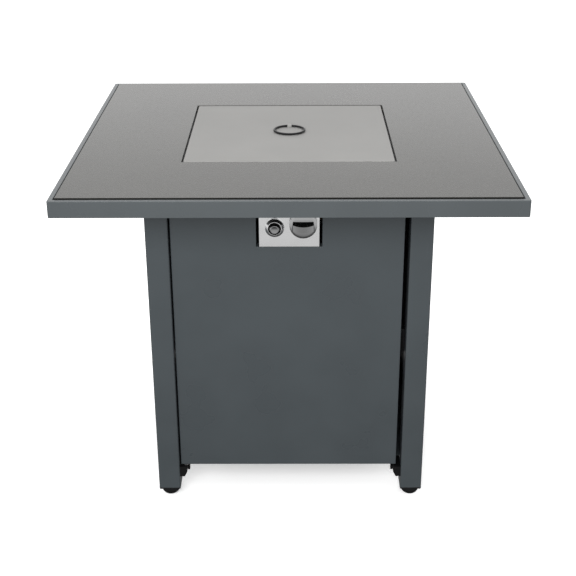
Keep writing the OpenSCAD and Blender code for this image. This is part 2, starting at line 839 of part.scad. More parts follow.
// Cast gas valve with its bonnet, fixing ears, outlet and threaded inlet
module gas_valve() color(brass)
    difference() {
        union() {
            from_plane(knob_offset, valve_rear, knob_level)
                linear_extrude(valve_length)
                    casting_outline();
            from_plane(knob_offset, valve_front, knob_level) {
                rod(bonnet_diameter / 2, -over, bonnet_length);
                block(
                    [-ear_width / 2, -ear_offset - ear_width / 2, bonnet_length - ear_thickness],
                    [ear_width / 2, ear_offset + ear_width / 2, bonnet_length]
                );
            }
            from_plane(knob_offset, valve_rear - outlet_length, outlet_level)
                rod(outlet_diameter / 2, 0, outlet_length + over);
            translate([knob_offset + valve_width / 2, -inlet_y, knob_level])
                rotate([0, 90, 0]) {
                    rod(shoulder_diameter / 2, -over, shoulder_length);
                    rod(inlet_diameter / 2, 0, shoulder_length + inlet_length);
                }
        }
        from_plane(knob_offset, control_back, knob_level) {
            rod(spindle_diameter / 2 + run_fit, -spindle_depth - knob_travel - over, over);
            rod(rod_diameter / 2 + run_fit, -spindle_depth - rod_length - knob_travel - over, 0);
            for (sz = [-1, 1])
                translate([0, sz * ear_offset, 0])
                    rod(screw_diameter / 2 + screw_clearance, -ear_thickness - over, over);
        }
        translate([knob_offset + valve_width / 2 + shoulder_length, -inlet_y, knob_level])
            rotate([0, 90, 0])
                rod(passage_diameter / 2, 0, inlet_length + over);
    }

// Rod that opens the flame safety valve when the knob is pushed in
module valve_push_rod() color(stainless)
    from_plane(knob_offset, spindle_rear, knob_level)
        rod(rod_diameter / 2, -rod_length, 0);

// Spindle that the knob turns
module valve_spindle() color(stainless)
    from_plane(knob_offset, spindle_rear, knob_level)
        rod(spindle_diameter / 2, 0, spindle_depth + control_sheet + knob_face);

// Knob with a skirt, a hollow back and a bar grip
module control_knob() color(chrome)
    from_plane(knob_offset, control_front, knob_level)
        difference() {
            union() {
                rotate_extrude()
                    polygon([
                        [0, knob_gap], [knob_diameter / 2, knob_gap],
                        [knob_diameter / 2, knob_face - knob_wall],
                        [knob_diameter / 2 - knob_wall, knob_face], [0, knob_face]
                    ]);
                intersection() {
                    rod(grip_length / 2, knob_face - knob_wall, knob_face + grip_height);
                    translate([-grip_length, 0, knob_face])
                        rotate([90, 0, 90])
                            linear_extrude(2 * grip_length)
                                polygon([
                                    [-grip_foot / 2, -knob_wall], [grip_foot / 2, -knob_wall],
                                    [grip_crest / 2, grip_height], [-grip_crest / 2, grip_height]
                                ]);
                    translate([0, grip_foot, knob_face + grip_height - grip_arch])
                        rotate([90, 0, 0])
                            cylinder(r = grip_arch, h = 2 * grip_foot);
                }
            }
            difference() {
                rod(knob_diameter / 2 - knob_wall, knob_gap - over, knob_gap + knob_recess);
                rod(knob_hub / 2, knob_gap, knob_gap + knob_recess + over);
            }
            rod(spindle_diameter / 2 + run_fit, knob_gap - over, knob_face + over / 2);
        }

// Bright folded plate that carries the knob and the igniter
module control_plate() color(chrome)
    difference() {
        block(
            [-control_width / 2, -control_front, control_bottom],
            [control_width / 2, control_depth - control_front, control_top]
        );
        block(
            [control_sheet - control_width / 2, -control_back, control_bottom + control_sheet],
            [
                control_width / 2 - control_sheet, control_depth - control_front + over,
                control_top - control_sheet
            ]
        );
        from_plane(knob_offset, control_back, knob_level) {
            rod(spindle_diameter / 2 + over, -over, control_sheet + over);
            for (sz = [-1, 1])
                translate([0, sz * ear_offset, 0])
                    rod(screw_diameter / 2 + screw_clearance, -over, control_sheet + over);
        }
        from_plane(-igniter_offset, control_back, control_middle)
            rod(igniter_diameter / 2 + plug_fit, -over, control_sheet + over);
        for (sx = [-1, 1])
            translate([sx * hanger_screw_spread, hanger_line, control_top])
                rod(screw_diameter / 2 + screw_clearance, -control_sheet - over, over);
    }

// Angle that hangs the control plate from the front top rail
module control_hanger() color(paint)
    difference() {
        union() {
            block(
                [-hanger_width / 2, hanger_front, control_top],
                [hanger_width / 2, hanger_front + hanger_sheet, control_top + hanger_height]
            );
            block(
                [-hanger_width / 2, hanger_front, control_top],
                [hanger_width / 2, hanger_back, control_top + hanger_sheet]
            );
        }
        for (sx = [-1, 1]) {
            translate([sx * hanger_screw_spread, hanger_line, control_top])
                rod(screw_diameter / 2 + screw_clearance, -over, hanger_sheet + over);
            from_plane(sx * hanger_screw_spread, -hanger_front, hanger_screw_level)
                rod(screw_diameter / 2 + screw_clearance, -hanger_sheet - over, over);
        }
    }

// Screws of the valve, the control plate and its hanger
module control_screws() color(dark_steel) {
    for (sz = [-1, 1])
        translate([knob_offset, -control_front, knob_level + sz * ear_offset])
            rotate([-90, 0, 0])
                screw(screw_diameter, screw_head, screw_head_height, control_sheet + ear_thickness);
    for (sx = [-1, 1]) {
        translate([sx * hanger_screw_spread, hanger_line, control_top - control_sheet])
            screw(
                screw_diameter, screw_head, screw_head_height,
                control_sheet + hanger_sheet + thread_past
            );
        from_plane(sx * hanger_screw_spread, -hanger_front - hanger_sheet, hanger_screw_level)
            screw(screw_diameter, screw_head, screw_head_height, hanger_sheet + rail_sheet);
    }
}

// Push igniter behind the control plate
module igniter_body() color(black)
    from_plane(-igniter_offset, control_front, control_middle)
        difference() {
            union() {
                rod(igniter_diameter / 2, -control_sheet - igniter_length, bezel_band);
                rod(terminal_diameter / 2, -control_sheet - igniter_length - terminal_length, 0);
            }
            rod(button_diameter / 2 + run_fit, -button_depth - button_travel - over, bezel_height);
        }

// Nut that holds the igniter from behind
module igniter_locknut() color(black)
    from_plane(-igniter_offset, control_back, control_middle)
        difference() {
            translate([0, 0, -igniter_nut_height])
                cylinder(d = igniter_nut_width, h = igniter_nut_height, $fn = 6);
            rod(igniter_diameter / 2 + run_fit, -igniter_nut_height - over, over);
        }

// Bright cone ring in front of the plate
module igniter_bezel() color(chrome) {
    inner = igniter_diameter / 2 + run_fit;
    from_plane(-igniter_offset, control_front, control_middle)
        rotate_extrude()
            polygon([
                [inner, 0], [bezel_diameter / 2, 0], [bezel_diameter / 2, bezel_band],
                [inner + bezel_land, bezel_height], [inner, bezel_height]
            ]);
}

// Button of the igniter, with a chamfered face
module igniter_button() color(stainless)
    from_plane(-igniter_offset, control_front, control_middle)
        rotate_extrude()
            polygon([
                [0, -button_depth], [button_diameter / 2, -button_depth],
                [button_diameter / 2, bezel_height + button_reach - button_chamfer],
                [button_diameter / 2 - button_chamfer, bezel_height + button_reach],
                [0, bezel_height + button_reach]
            ]);

// Foot plate of the electrode and the thermocouple on the bowl's floor
module ignition_bracket() color(stainless)
    difference() {
        translate([-pilot_x, -pilot_y, floor_top + pilot_sheet / 2])
            cube([pilot_spacing + 2 * pilot_collar, 2 * pilot_collar, pilot_sheet], center = true);
        translate([electrode_x, -pilot_y, 0])
            rod(ceramic_diameter / 2 + plug_fit, floor_top - over, bracket_top + over);
        translate([thermocouple_x, -pilot_y, 0])
            rod(sheath_diameter / 2 + plug_fit, floor_top - over, bracket_top + over);
    }

// Ceramic electrode with its bare wire
module ignition_electrode() color("#e8e6df")
    translate([electrode_x, -pilot_y, 0]) {
        rod(ceramic_diameter / 2, pilot_foot, bracket_top + ceramic_height);
        rod(pilot_collar / 2, bracket_top, bracket_top + pilot_collar_height);
        rod(electrode_wire / 2, bracket_top, bracket_top + ceramic_height + electrode_tip);
    }

// Thermocouple that keeps the safety valve open while the burner is hot
module thermocouple() color(brass)
    translate([thermocouple_x, -pilot_y, 0]) {
        rod(sheath_diameter / 2, pilot_foot, bracket_top + sheath_height);
        rod(pilot_collar / 2, bracket_top, bracket_top + pilot_collar_height);
        rod(sheath_tip / 2, bracket_top, bracket_top + sheath_height + sheath_tip_height);
    }

// Lead from the igniter's terminal to the electrode
module ignition_lead() color(black) {
    start = [
        -igniter_offset, control_sheet + igniter_length + terminal_length - control_front,
        control_middle
    ];
    end = [electrode_x, -pilot_y, pilot_foot];
    swept_tube(start, [0, -start[1] / 5, 0], [0, 0, pilot_drop * 2], end, lead_diameter / 2);
}

// Lead from the thermocouple to the valve
module thermocouple_lead() color(brass) {
    start = [couple_port_x, -valve_rear, couple_port_z];
    end = [thermocouple_x, -pilot_y, pilot_foot];
    swept_tube(start, [0, -start[1] / 5, 0], [0, 0, pilot_drop * 2], end, lead_diameter / 2);
}

// Folded lid over the burner
module burner_lid() color(lid_grey)
    difference() {
        slab(lid_width, lid_corner, lid_bottom, tile_top);
        slab(
            lid_width - 2 * lid_sheet, lid_corner - lid_sheet / 2,
            lid_bottom - over, tile_top - lid_sheet
        );
    }

// Eye on the lid that holds the pull ring
module pull_ring_eye() color(lid_grey)
    translate([-eye_width / 2, ring_radius, ring_level])
        rotate([90, 0, 90])
            linear_extrude(eye_width)
                difference() {
                    union() {
                        circle(eye_outer);
                        translate([-eye_outer, tile_top - ring_level])
                            square([2 * eye_outer, ring_level - tile_top]);
                    }
                    circle(eye_inner);
                    translate([-eye_inner, tile_top - ring_level - over])
                        square([2 * eye_inner, ring_level - tile_top + over]);
                    translate([-2 * eye_outer, tile_top - ring_level - 2 * eye_outer])
                        square([4 * eye_outer, 2 * eye_outer]);
                }

// Ring that lies on the lid and flips up to lift it
module pull_ring() color(black)
    translate([0, 0, ring_level])
        rotate_extrude()
            translate([ring_radius, 0])
                circle(ring_wire / 2);

// Tube leg with a closed top and the holes of its screws and bolts
module leg(sx, sy) color(paint)
    difference() {
        translate([sx * leg_axis, sy * leg_axis, 0])
            difference() {
                slab(leg_width, leg_corner, leg_bottom, base_top);
                slab(
                    leg_width - 2 * leg_wall, leg_corner - leg_wall / 2,
                    leg_bottom - over, base_top - leg_cap
                );
            }
        for (level = screw_levels) {
            translate([sx * panel_middle, sy * (leg_inner + leg_wall + over), level])
                rotate([90 * sy, 0, 0])
                    rod(screw_diameter / 2 + screw_clearance, 0, leg_wall + 2 * over);
            if (sy > 0)
                translate([sx * (leg_inner + leg_wall + over), panel_middle, level])
                    rotate([0, -90 * sx, 0])
                        rod(screw_diameter / 2 + screw_clearance, 0, leg_wall + 2 * over);
        }
        translate([sx * (leg_inner + leg_wall + over), sy * leg_axis, runner_middle])
            rotate([0, -90 * sx, 0])
                rod(bolt_diameter / 2 + screw_clearance, 0, leg_wall + 2 * over);
        translate([sx * leg_axis, sy * bolt_line, 0])
            rod(bolt_diameter / 2 + screw_clearance, base_top - leg_cap - over, base_top + over);
    }

module front_left_leg() leg(-1, -1);
module front_right_leg() leg(1, -1);
module rear_left_leg() leg(-1, 1);
module rear_right_leg() leg(1, 1);

// Plugs with the feet's threads
module leg_plugs() color(black) {
    inside = leg_width - 2 * leg_wall - 2 * plug_fit;
    for (sx = [-1, 1], sy = [-1, 1])
        translate([sx * leg_axis, sy * leg_axis, 0])
            difference() {
                union() {
                    slab(leg_width, leg_corner, plug_bottom, leg_bottom);
                    slab(inside, leg_corner - leg_wall / 2, leg_bottom, leg_bottom + plug_depth);
                }
                rod(stem_diameter / 2 + run_fit, plug_bottom - over, leg_bottom + plug_depth + over);
            }
}

// Levelling foot on its threaded stem
module foot(sx, sy) color(black)
    translate([sx * leg_axis, sy * leg_axis, 0])
        rotate_extrude() {
            intersection() {
                union() {
                    square([foot_diameter / 2 - foot_round, foot_height]);
                    translate([0, foot_round])
                        square([foot_diameter / 2, foot_height]);
                    translate([foot_diameter / 2 - foot_round, foot_round])
                        circle(foot_round);
                }
                square([foot_diameter / 2, foot_height]);
            }
            square([stem_diameter / 2, foot_height + stem_length]);
        }

module front_left_foot() foot(-1, -1);
module front_right_foot() foot(1, -1);
module rear_left_foot() foot(-1, 1);
module rear_right_foot() foot(1, 1);

// Angle rail between two legs, drawn at the front
module top_rail() color(paint) {
    block([-leg_inner, -face, rail_bottom], [leg_inner, rail_sheet - face, base_top]);
    block([-leg_inner, -face, base_top - rail_sheet], [leg_inner, rail_reach - face, base_top]);
}

module front_top_rail()
    difference() {
        top_rail();
        for (sx = [-1, 1])
            from_plane(sx * hanger_screw_spread, -hanger_front, hanger_screw_level)
                rod(screw_diameter / 2 + screw_clearance, -over, rail_sheet + over);
    }
module rear_top_rail() rotate([0, 0, 180]) top_rail();
module left_top_rail() rotate([0, 0, -90]) top_rail();
module right_top_rail() rotate([0, 0, 90]) top_rail();

// Folded panel between two legs, drawn at the front
module panel() color(paint)
    difference() {
        block([-leg_inner, -face, panel_bottom], [leg_inner, -panel_back, panel_top]);
        block(
            [panel_sheet - leg_inner, panel_sheet - face, panel_bottom + panel_sheet],
            [leg_inner - panel_sheet, -panel_back - panel_sheet, panel_top - panel_sheet]
        );
        block(
            [panel_lip - leg_inner, -panel_middle, panel_bottom + panel_lip],
            [leg_inner - panel_lip, over - panel_back, panel_top - panel_lip]
        );
        for (level = screw_levels)
            translate([0, -panel_middle, level])
                rotate([0, 90, 0])
                    rod(screw_diameter / 2 + screw_clearance, -leg_inner - over, leg_inner + over);
    }

module left_panel() rotate([0, 0, -90]) panel();
module right_panel() rotate([0, 0, 90]) panel();
module rear_panel() rotate([0, 0, 180]) panel();

// Screws through the panels' folded edges into the legs
module panel_screws() color(dark_steel)
    for (turn = [-90, 90, 180], side = [0, 1], level = screw_levels)
        rotate([0, 0, turn])
            mirror([side, 0, 0])
                translate([leg_inner - panel_sheet, -panel_middle, level])
                    rotate([0, 90, 0])
                        screw(
                            screw_diameter, screw_head, screw_head_height,
                            panel_sheet + leg_wall + thread_past
                        );

// Bolts from inside the long bars down into the legs
module top_bolts() color(dark_steel)
    for (sx = [-1, 1], sy = [-1, 1])
        translate([sx * leg_axis, sy * bolt_line, base_top + bar_wall])
            mirror([0, 0, 1])
                screw(bolt_diameter, bolt_head, bolt_head_height, bar_wall + leg_cap + thread_past);

// Section of a lower rail, from the leg's face inwards
module runner_section()
    polygon([
        [0, 0], [runner_width - runner_chamfer, 0], [runner_width, 2 * runner_chamfer],
        [runner_width, runner_height], [0, runner_height]
    ]);

// Lower rail with closed ends along the inner faces of two legs, drawn at the left
module runner() color(black)
    difference() {
        translate([-leg_inner, runner_end, runner_clearance])
            rotate([90, 0, 0])
                linear_extrude(2 * runner_end)
                    runner_section();
        block(
            [runner_wall - leg_inner, runner_wall - runner_end, runner_clearance + 2 * runner_chamfer],
            [-runner_inner - runner_wall, runner_end - runner_wall, runner_top - runner_wall]
        );
        for (sy = [-1, 1])
            translate([-leg_inner, sy * leg_axis, runner_middle])
                rotate([0, 90, 0])
                    rod(bolt_diameter / 2 + screw_clearance, -over, runner_width + over);
    }

module left_runner()
    difference() {
        runner();
        translate([pivot_x, pivot_y, 0])
            rod(pin_diameter / 2 + run_fit, runner_top - runner_wall - over, runner_top + over);
    }
module right_runner() mirror([1, 0, 0]) runner();

// Bolts through the lower rails into the legs
module runner_bolts() color(dark_steel)
    for (side = [0, 1], sy = [-1, 1])
        mirror([side, 0, 0])
            translate([-runner_inner, sy * leg_axis, runner_middle])
                rotate([0, -90, 0])
                    screw(
                        bolt_diameter, bolt_head, bolt_head_height,
                        runner_width + leg_wall + thread_past
                    );

// Hanging tray with a ring for the tank's foot
module tank_tray() color(paint) {
    half_x = runner_inner - tray_gap;
    half_y = leg_inner - tray_end_gap;
    wing_x = panel_back + wing_lap;
    wing_y = leg_inner - tray_gap;
    difference() {
        union() {
            block([-half_x, -half_y, tray_height - tray_sheet], [half_x, half_y, wing_top]);
            block([-wing_x, -wing_y, runner_top], [wing_x, wing_y, wing_top]);
        }
        block(
            [tray_sheet - half_x, tray_sheet - half_y, tray_height],
            [half_x - tray_sheet, half_y - tray_sheet, wing_top + over]
        );
        rod(tank_hole / 2, tray_height - tray_sheet - over, tray_height + over);
    }
    difference() {
        rod(tank_ring / 2 + tank_ring_wall, tray_height - tray_sheet / 2, tray_height + tank_ring_height);
        rod(tank_ring / 2, tray_height - tray_sheet, tray_height + tank_ring_height + over);
    }
}

// Outline of the door with the notch for the control plate, drawn in by a margin
module door_outline(margin) {
    polygon([
        [door_left + margin, door_bottom + margin], [door_right - margin, door_bottom + margin],
        [door_right - margin, door_top - margin], [notch_half + margin, door_top - margin],
        [notch_half + margin, notch_bottom - margin], [-notch_half - margin, notch_bottom - margin],
        [-notch_half - margin, door_top - margin], [door_left + margin, door_top - margin]
    ]);
}

// Folded door of the tank bay
module access_door() color(paint)
    difference() {
        from_plane(0, panel_back, 0)
            linear_extrude(panel_depth)
                door_outline(0);
        from_plane(0, panel_back, 0)
            translate([0, 0, panel_sheet])
                linear_extrude(panel_depth - 2 * panel_sheet)
                    door_outline(panel_sheet);
        from_plane(0, panel_back, 0)
            translate([0, 0, -over])
                linear_extrude(over + 2 * panel_sheet)
                    door_outline(panel_lip);
        translate([pivot_x, pivot_y, 0]) {
            rod(bush_radius + run_fit, door_bottom - over, door_bottom + panel_sheet + over);
            rod(bush_radius + run_fit, door_top - panel_sheet - over, door_top + over);
        }
    }

// Flanged bush along +Z, with its flange below z = 0
module bush() {
    difference() {
        union() {
            rod(collar_diameter / 2, -collar_height, 0);
            rod(bush_radius, -collar_height, bush_length);
        }
        rod(pin_diameter / 2 + run_fit, -collar_height - over, bush_length + over);
    }
}

// Bushes in the door's lower and upper edges
module door_bushes() color("#d9d6cc") {
    translate([pivot_x, pivot_y, door_bottom])
        bush();
    translate([pivot_x, pivot_y, door_top])
        mirror([0, 0, 1])
            bush();
}

// Pins that the door turns on
module door_pivot_pins() color(stainless)
    translate([pivot_x, pivot_y, 0]) {
        rod(pin_diameter / 2, runner_top - runner_wall, door_bottom + pin_engagement);
        rod(collar_diameter / 2, runner_top, runner_top + collar_height);
        rod(pin_diameter / 2, door_top - pin_engagement, rail_bottom);
    }

// Plate under the front top rail that holds the upper pin
module upper_pivot_plate() color(black)
    difference() {
        block(
            [-leg_inner, pivot_y - pivot_margin, rail_bottom - pivot_plate],
            [pivot_x + pivot_margin, pivot_y + pivot_margin, rail_bottom]
        );
        translate([pivot_x, pivot_y, 0])
            rod(pin_diameter / 2 + run_fit, rail_bottom - pivot_plate - over, rail_bottom + over);
    }

// Magnetic catch on the right front leg, behind the door's lip
module magnet_catch() color(black) {
    front = catch_clearance - panel_back;
    block(
        [leg_inner - catch_width, front, catch_level - catch_height / 2],
        [leg_inner, front + catch_depth, catch_level + catch_height / 2]
    );
}

tabletop_rim();
top_tile();
underframe_bars();
tile_pads();
opening_frame();
bowl_seal();
fire_bowl();
burner_ring();
burner_locknut();
gas_elbow();
air_mixer();
gas_feed_tube();
gas_valve();
valve_push_rod();
valve_spindle();
control_knob();
control_plate();
control_hanger();
control_screws();
igniter_body();
igniter_locknut();
igniter_bezel();
igniter_button();
ignition_bracket();
ignition_electrode();
thermocouple();
ignition_lead();
thermocouple_lead();
burner_lid();
pull_ring_eye();
pull_ring();
front_left_leg();
front_right_leg();
rear_left_leg();
rear_right_leg();
leg_plugs();
front_left_foot();
front_right_foot();
rear_left_foot();
rear_right_foot();
front_top_rail();
rear_top_rail();
left_top_rail();
right_top_rail();
left_panel();
right_panel();
rear_panel();
panel_screws();
top_bolts();
left_runner();
right_runner();
runner_bolts();
tank_tray();
access_door();
door_bushes();
door_pivot_pins();
upper_pivot_plate();
magnet_catch();
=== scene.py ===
import json
import math

import bmesh
import bpy
from mathutils import Matrix, Vector


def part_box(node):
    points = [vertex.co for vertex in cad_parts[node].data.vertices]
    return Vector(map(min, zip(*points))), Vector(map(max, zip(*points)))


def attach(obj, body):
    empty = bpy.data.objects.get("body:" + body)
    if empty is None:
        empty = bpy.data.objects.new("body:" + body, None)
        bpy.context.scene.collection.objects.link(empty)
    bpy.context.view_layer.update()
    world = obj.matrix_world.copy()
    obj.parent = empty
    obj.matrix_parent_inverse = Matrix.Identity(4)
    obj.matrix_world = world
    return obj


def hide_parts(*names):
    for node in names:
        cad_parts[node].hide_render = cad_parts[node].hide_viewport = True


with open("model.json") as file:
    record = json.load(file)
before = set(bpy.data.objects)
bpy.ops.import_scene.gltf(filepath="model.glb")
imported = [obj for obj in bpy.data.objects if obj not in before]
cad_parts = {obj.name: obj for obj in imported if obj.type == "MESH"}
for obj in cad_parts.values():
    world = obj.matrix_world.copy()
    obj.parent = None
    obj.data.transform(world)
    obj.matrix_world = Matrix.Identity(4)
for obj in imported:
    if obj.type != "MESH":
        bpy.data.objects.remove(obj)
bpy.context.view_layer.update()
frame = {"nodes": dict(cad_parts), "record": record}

mm = 0.001
scene = bpy.context.scene
record = frame["record"]
bodyOf = {node: body for body, nodes in record["behaviour"]["bodies"].items() for node in nodes}
slotOf = {part["node"]: part["material_slot"] for part in record["subparts"]}
print("frame loaded:", len(frame["nodes"]), "nodes")


# Camera, floor and light

cameraFit = {
    "framePixels": 576,
    "focalPixels": 1135.55,
    "place": (0.0095, -2.0597, 1.2452),
    "down": 24.08,       # degrees below level
    "turn": -0.378,      # degrees from +Y towards +X
    "roll": 0.262,
    "sensor": 36.0,
    "farthest": 200.0,
}
studio = {
    "floor": {"size": 60.0, "colour": (0.93, 0.93, 0.93), "glow": 0.35, "rough": 0.9, "gloss": 0.1},
    "sky": [(-1.0, 0.04), (-0.55, 0.16), (-0.33, 0.69), (0.0, 0.78), (0.3, 0.95), (1.0, 1.15)],
    "lights": {
        "overheadBox": {"place": (-0.1, 1.4, 3.0), "aim": (0.0, 0.1, 0.5), "size": (2.2, 2.2),
                        "spread": 180.0, "power": 21.0, "mirrored": True},
        "frontBox": {"place": (-0.3, -2.1, 1.5), "aim": (0.0, -0.2, 0.85), "size": (1.4, 1.0),
                     "spread": 90.0, "power": 15.5, "mirrored": False},
        "backPanel": {"place": (0.0, 3.2, 1.2), "aim": (0.0, 0.0, 0.7), "size": (4.0, 0.9),
                      "spread": 180.0, "power": 4.5, "mirrored": True},
    },
}


def makeCamera(fit):
    down, turn, roll = (math.radians(fit[key]) for key in ("down", "turn", "roll"))
    ahead = Vector((math.sin(turn) * math.cos(down), math.cos(turn) * math.cos(down), -math.sin(down)))
    level = Vector((math.cos(turn), -math.sin(turn), 0.0))
    below = ahead.cross(level)
    across = math.cos(roll) * level + math.sin(roll) * below
    upright = math.sin(roll) * level - math.cos(roll) * below
    data = bpy.data.cameras.new("photoCamera")
    data.sensor_width = fit["sensor"]
    data.lens = fit["focalPixels"] / fit["framePixels"] * fit["sensor"]
    data.clip_end = fit["farthest"]
    camera = bpy.data.objects.new("photoCamera", data)
    scene.collection.objects.link(camera)
    turned = Matrix((across, upright, -ahead)).transposed().to_4x4()
    camera.matrix_world = Matrix.Translation(fit["place"]) @ turned
    scene.camera = camera


def makeSoftbox(name, box):
    data = bpy.data.lights.new(name, "AREA")
    data.shape = "RECTANGLE"
    data.size, data.size_y = box["size"]
    data.spread = math.radians(box["spread"])
    data.energy = box["power"]
    light = bpy.data.objects.new(name, data)
    scene.collection.objects.link(light)
    light.location = box["place"]
    towards = Vector(box["aim"]) - Vector(box["place"])
    light.rotation_euler = towards.to_track_quat("-Z", "Y").to_euler()
    light.visible_camera = False
    light.visible_glossy = box["mirrored"]


def makeFloor(values):
    bm = bmesh.new()
    bmesh.ops.create_grid(bm, x_segments=1, y_segments=1, size=values["size"] / 2)
    mesh = bpy.data.meshes.new("floor")
    bm.to_mesh(mesh)
    bm.free()
    floor = bpy.data.objects.new("floor", mesh)
    scene.collection.objects.link(floor)
    pale = bpy.data.materials.new("paleFloor")
    pale.use_nodes = True
    surface = pale.node_tree.nodes["Principled BSDF"]
    surface.inputs["Base Color"].default_value = (*values["colour"], 1.0)
    surface.inputs["Emission Color"].default_value = (1.0, 1.0, 1.0, 1.0)
    surface.inputs["Emission Strength"].default_value = values["glow"]
    surface.inputs["Roughness"].default_value = values["rough"]
    surface.inputs["Specular IOR Level"].default_value = values["gloss"]
    mesh.materials.append(pale)
    floor.visible_diffuse = floor.visible_glossy = False     # the sky's lower half stands in for its bounce


def makeSky(stops):     # (height of the direction, brightness) pairs
    world = bpy.data.worlds.new("studioSky")
    world.use_nodes = True
    tree = world.node_tree
    coords = tree.nodes.new("ShaderNodeTexCoord")
    parts = tree.nodes.new("ShaderNodeSeparateXYZ")
    spread = tree.nodes.new("ShaderNodeMapRange")
    spread.inputs["From Min"].default_value = -1.0
    ramp = tree.nodes.new("ShaderNodeValToRGB")
    top = max(brightness for height, brightness in stops)
    elements = ramp.color_ramp.elements
    while len(elements) < len(stops):
        elements.new(0.5)
    for element, (height, brightness) in zip(elements, stops):
        element.position = (height + 1) / 2
        element.color = (brightness / top, brightness / top, brightness / top, 1.0)
    sky = tree.nodes["Background"]
    sky.inputs["Strength"].default_value = top
    tree.links.new(coords.outputs["Generated"], parts.inputs["Vector"])
    tree.links.new(parts.outputs["Z"], spread.inputs["Value"])
    tree.links.new(spread.outputs["Result"], ramp.inputs["Fac"])
    tree.links.new(ramp.outputs["Color"], sky.inputs["Color"])
    scene.world = world


makeCamera(cameraFit)
makeFloor(studio["floor"])
makeSky(studio["sky"])
for name, box in studio["lights"].items():
    makeSoftbox(name, box)
scene.view_settings.view_transform = "Standard"
print("camera, floor and light ready")


# Material building blocks. Sizes are in metres, and patterns sit on Object coordinates

def addNode(tree, kind, settings=None, inputs=None):
    made = tree.nodes.new(kind)
    for key, value in (settings or {}).items():
        setattr(made, key, value)
    for key, value in (inputs or {}).items():
        if isinstance(value, bpy.types.NodeSocket):
            tree.links.new(value, made.inputs[key])
        else:
            made.inputs[key].default_value = value
    return made


def newFinish(name, fixed):
    finish = bpy.data.materials.new(name)
    finish.use_nodes = True
    surface = finish.node_tree.nodes["Principled BSDF"]
    for key, value in fixed.items():
        surface.inputs[key].default_value = value
    return finish, finish.node_tree, surface


def onPiece(tree, stretch=(1.0, 1.0, 1.0)):
    coords = addNode(tree, "ShaderNodeTexCoord")
    inputs = {"Vector": coords.outputs["Object"], "Scale": stretch}
    return addNode(tree, "ShaderNodeMapping", inputs=inputs).outputs["Vector"]


def grain(tree, place, size, detail=3.0, harsh=0.5):
    inputs = {"Vector": place, "Scale": 1.0 / size, "Detail": detail, "Roughness": harsh}
    return addNode(tree, "ShaderNodeTexNoise", inputs=inputs).outputs["Fac"]


def cells(tree, place, size):
    inputs = {"Vector": place, "Scale": 1.0 / size}
    return addNode(tree, "ShaderNodeTexVoronoi", inputs=inputs).outputs["Distance"]


def between(tree, amount, low, high, start=0.35, end=0.65):
    inputs = {"Value": amount, "From Min": start, "From Max": end, "To Min": low, "To Max": high}
    return addNode(tree, "ShaderNodeMapRange", inputs=inputs).outputs["Result"]


def tint(tree, amount, first, second, start=0.35, end=0.65):
    ramp = addNode(tree, "ShaderNodeValToRGB", inputs={"Fac": amount})
    for stop, position, colour in zip(ramp.color_ramp.elements, (start, end), (first, second)):
        stop.position = position
        stop.color = (*colour, 1.0)
    return ramp.outputs["Color"]


def mixed(tree, amount, first, second):
    inputs = {0: amount, 6: first, 7: second}     # the node's factor and its two colours
    return addNode(tree, "ShaderNodeMix", {"data_type": "RGBA"}, inputs).outputs[2]


def relief(tree, height, depth, strength):
    inputs = {"Height": height, "Distance": depth, "Strength": strength}
    return addNode(tree, "ShaderNodeBump", inputs=inputs).outputs["Normal"]


def plug(tree, surface, colour, rough, normal):
    for key, socket in (("Base Color", colour), ("Roughness", rough), ("Normal", normal)):
        tree.links.new(socket, surface.inputs[key])


def worked(tree, operation, *sockets):
    inputs = dict(enumerate(sockets))
    return addNode(tree, "ShaderNodeMath", {"operation": operation}, inputs).outputs["Value"]


def shade(colour, factor):
    return tuple(channel * factor for channel in colour)


def shades(colour, factors):
    return [shade(colour, factor) for factor in factors]


def around(tree, amount, value, spread):     # a value that wanders a little
    return between(tree, amount, value + spread[0], value + spread[1])


# Finishes, one for each slot of the record and, as painted light, a lighter copy of the powder coat for the
# rim that stands in for the extra light the rim catches. A look holds what its finishes share: shades as
# factors on the colour, ranges as (start, end) of a pattern

coatLook = {
    "clouds": (0.96, 1.04),
    "peelDetail": 2.0, "peelStrength": 0.6,
    "speckShade": 1.22, "speckRange": (0.05, 0.22),
    "patchSize": 5, "patchShare": 0.5, "patchRange": (0.56, 0.72),     # size in specks
    "roughSpread": (-0.03, 0.04),
}
stoneLook = {
    "clouds": (0.93, 1.07), "cloudDetail": 5.0, "cloudHarsh": 0.6,
    "sand": (0.55, 1.45), "sandDetail": 2.0, "sandHarsh": 0.7, "sandShare": (0.25, 0.55),
    "chipShade": 1.3, "chipRange": (0.03, 0.16),
    "patchSize": 4, "patchShare": 0.55, "patchRange": (0.52, 0.70),     # size in chips
    "roughSpread": (-0.06, 0.07), "reliefStrength": 0.5,
}
plasticLook = {"flow": (0.85, 1.2), "roughSpread": (-0.06, 0.06), "pebbleStrength": 0.5}
platingLook = {"haze": (0.97, 1.0), "rough": (0.7, 1.4), "rippleDetail": 1.0, "rippleStrength": 0.3}
sheetLook = {
    "lines": (0.86, 1.0), "lineDetail": 4.0, "lineHarsh": 0.6, "lineStrength": 0.4,
    "clouds": (0.90, 1.03), "cloudShare": (0.3, 0.6),
    "roughSpread": (-0.07, 0.08),
}
metalLook = {
    "clouds": (0.72, 1.0),
    "pits": (0.8, 1.0), "pitDetail": 2.0, "pitShare": (0.15, 0.5), "pitStrength": 0.5,
    "roughSpread": (-0.06, 0.1),
}


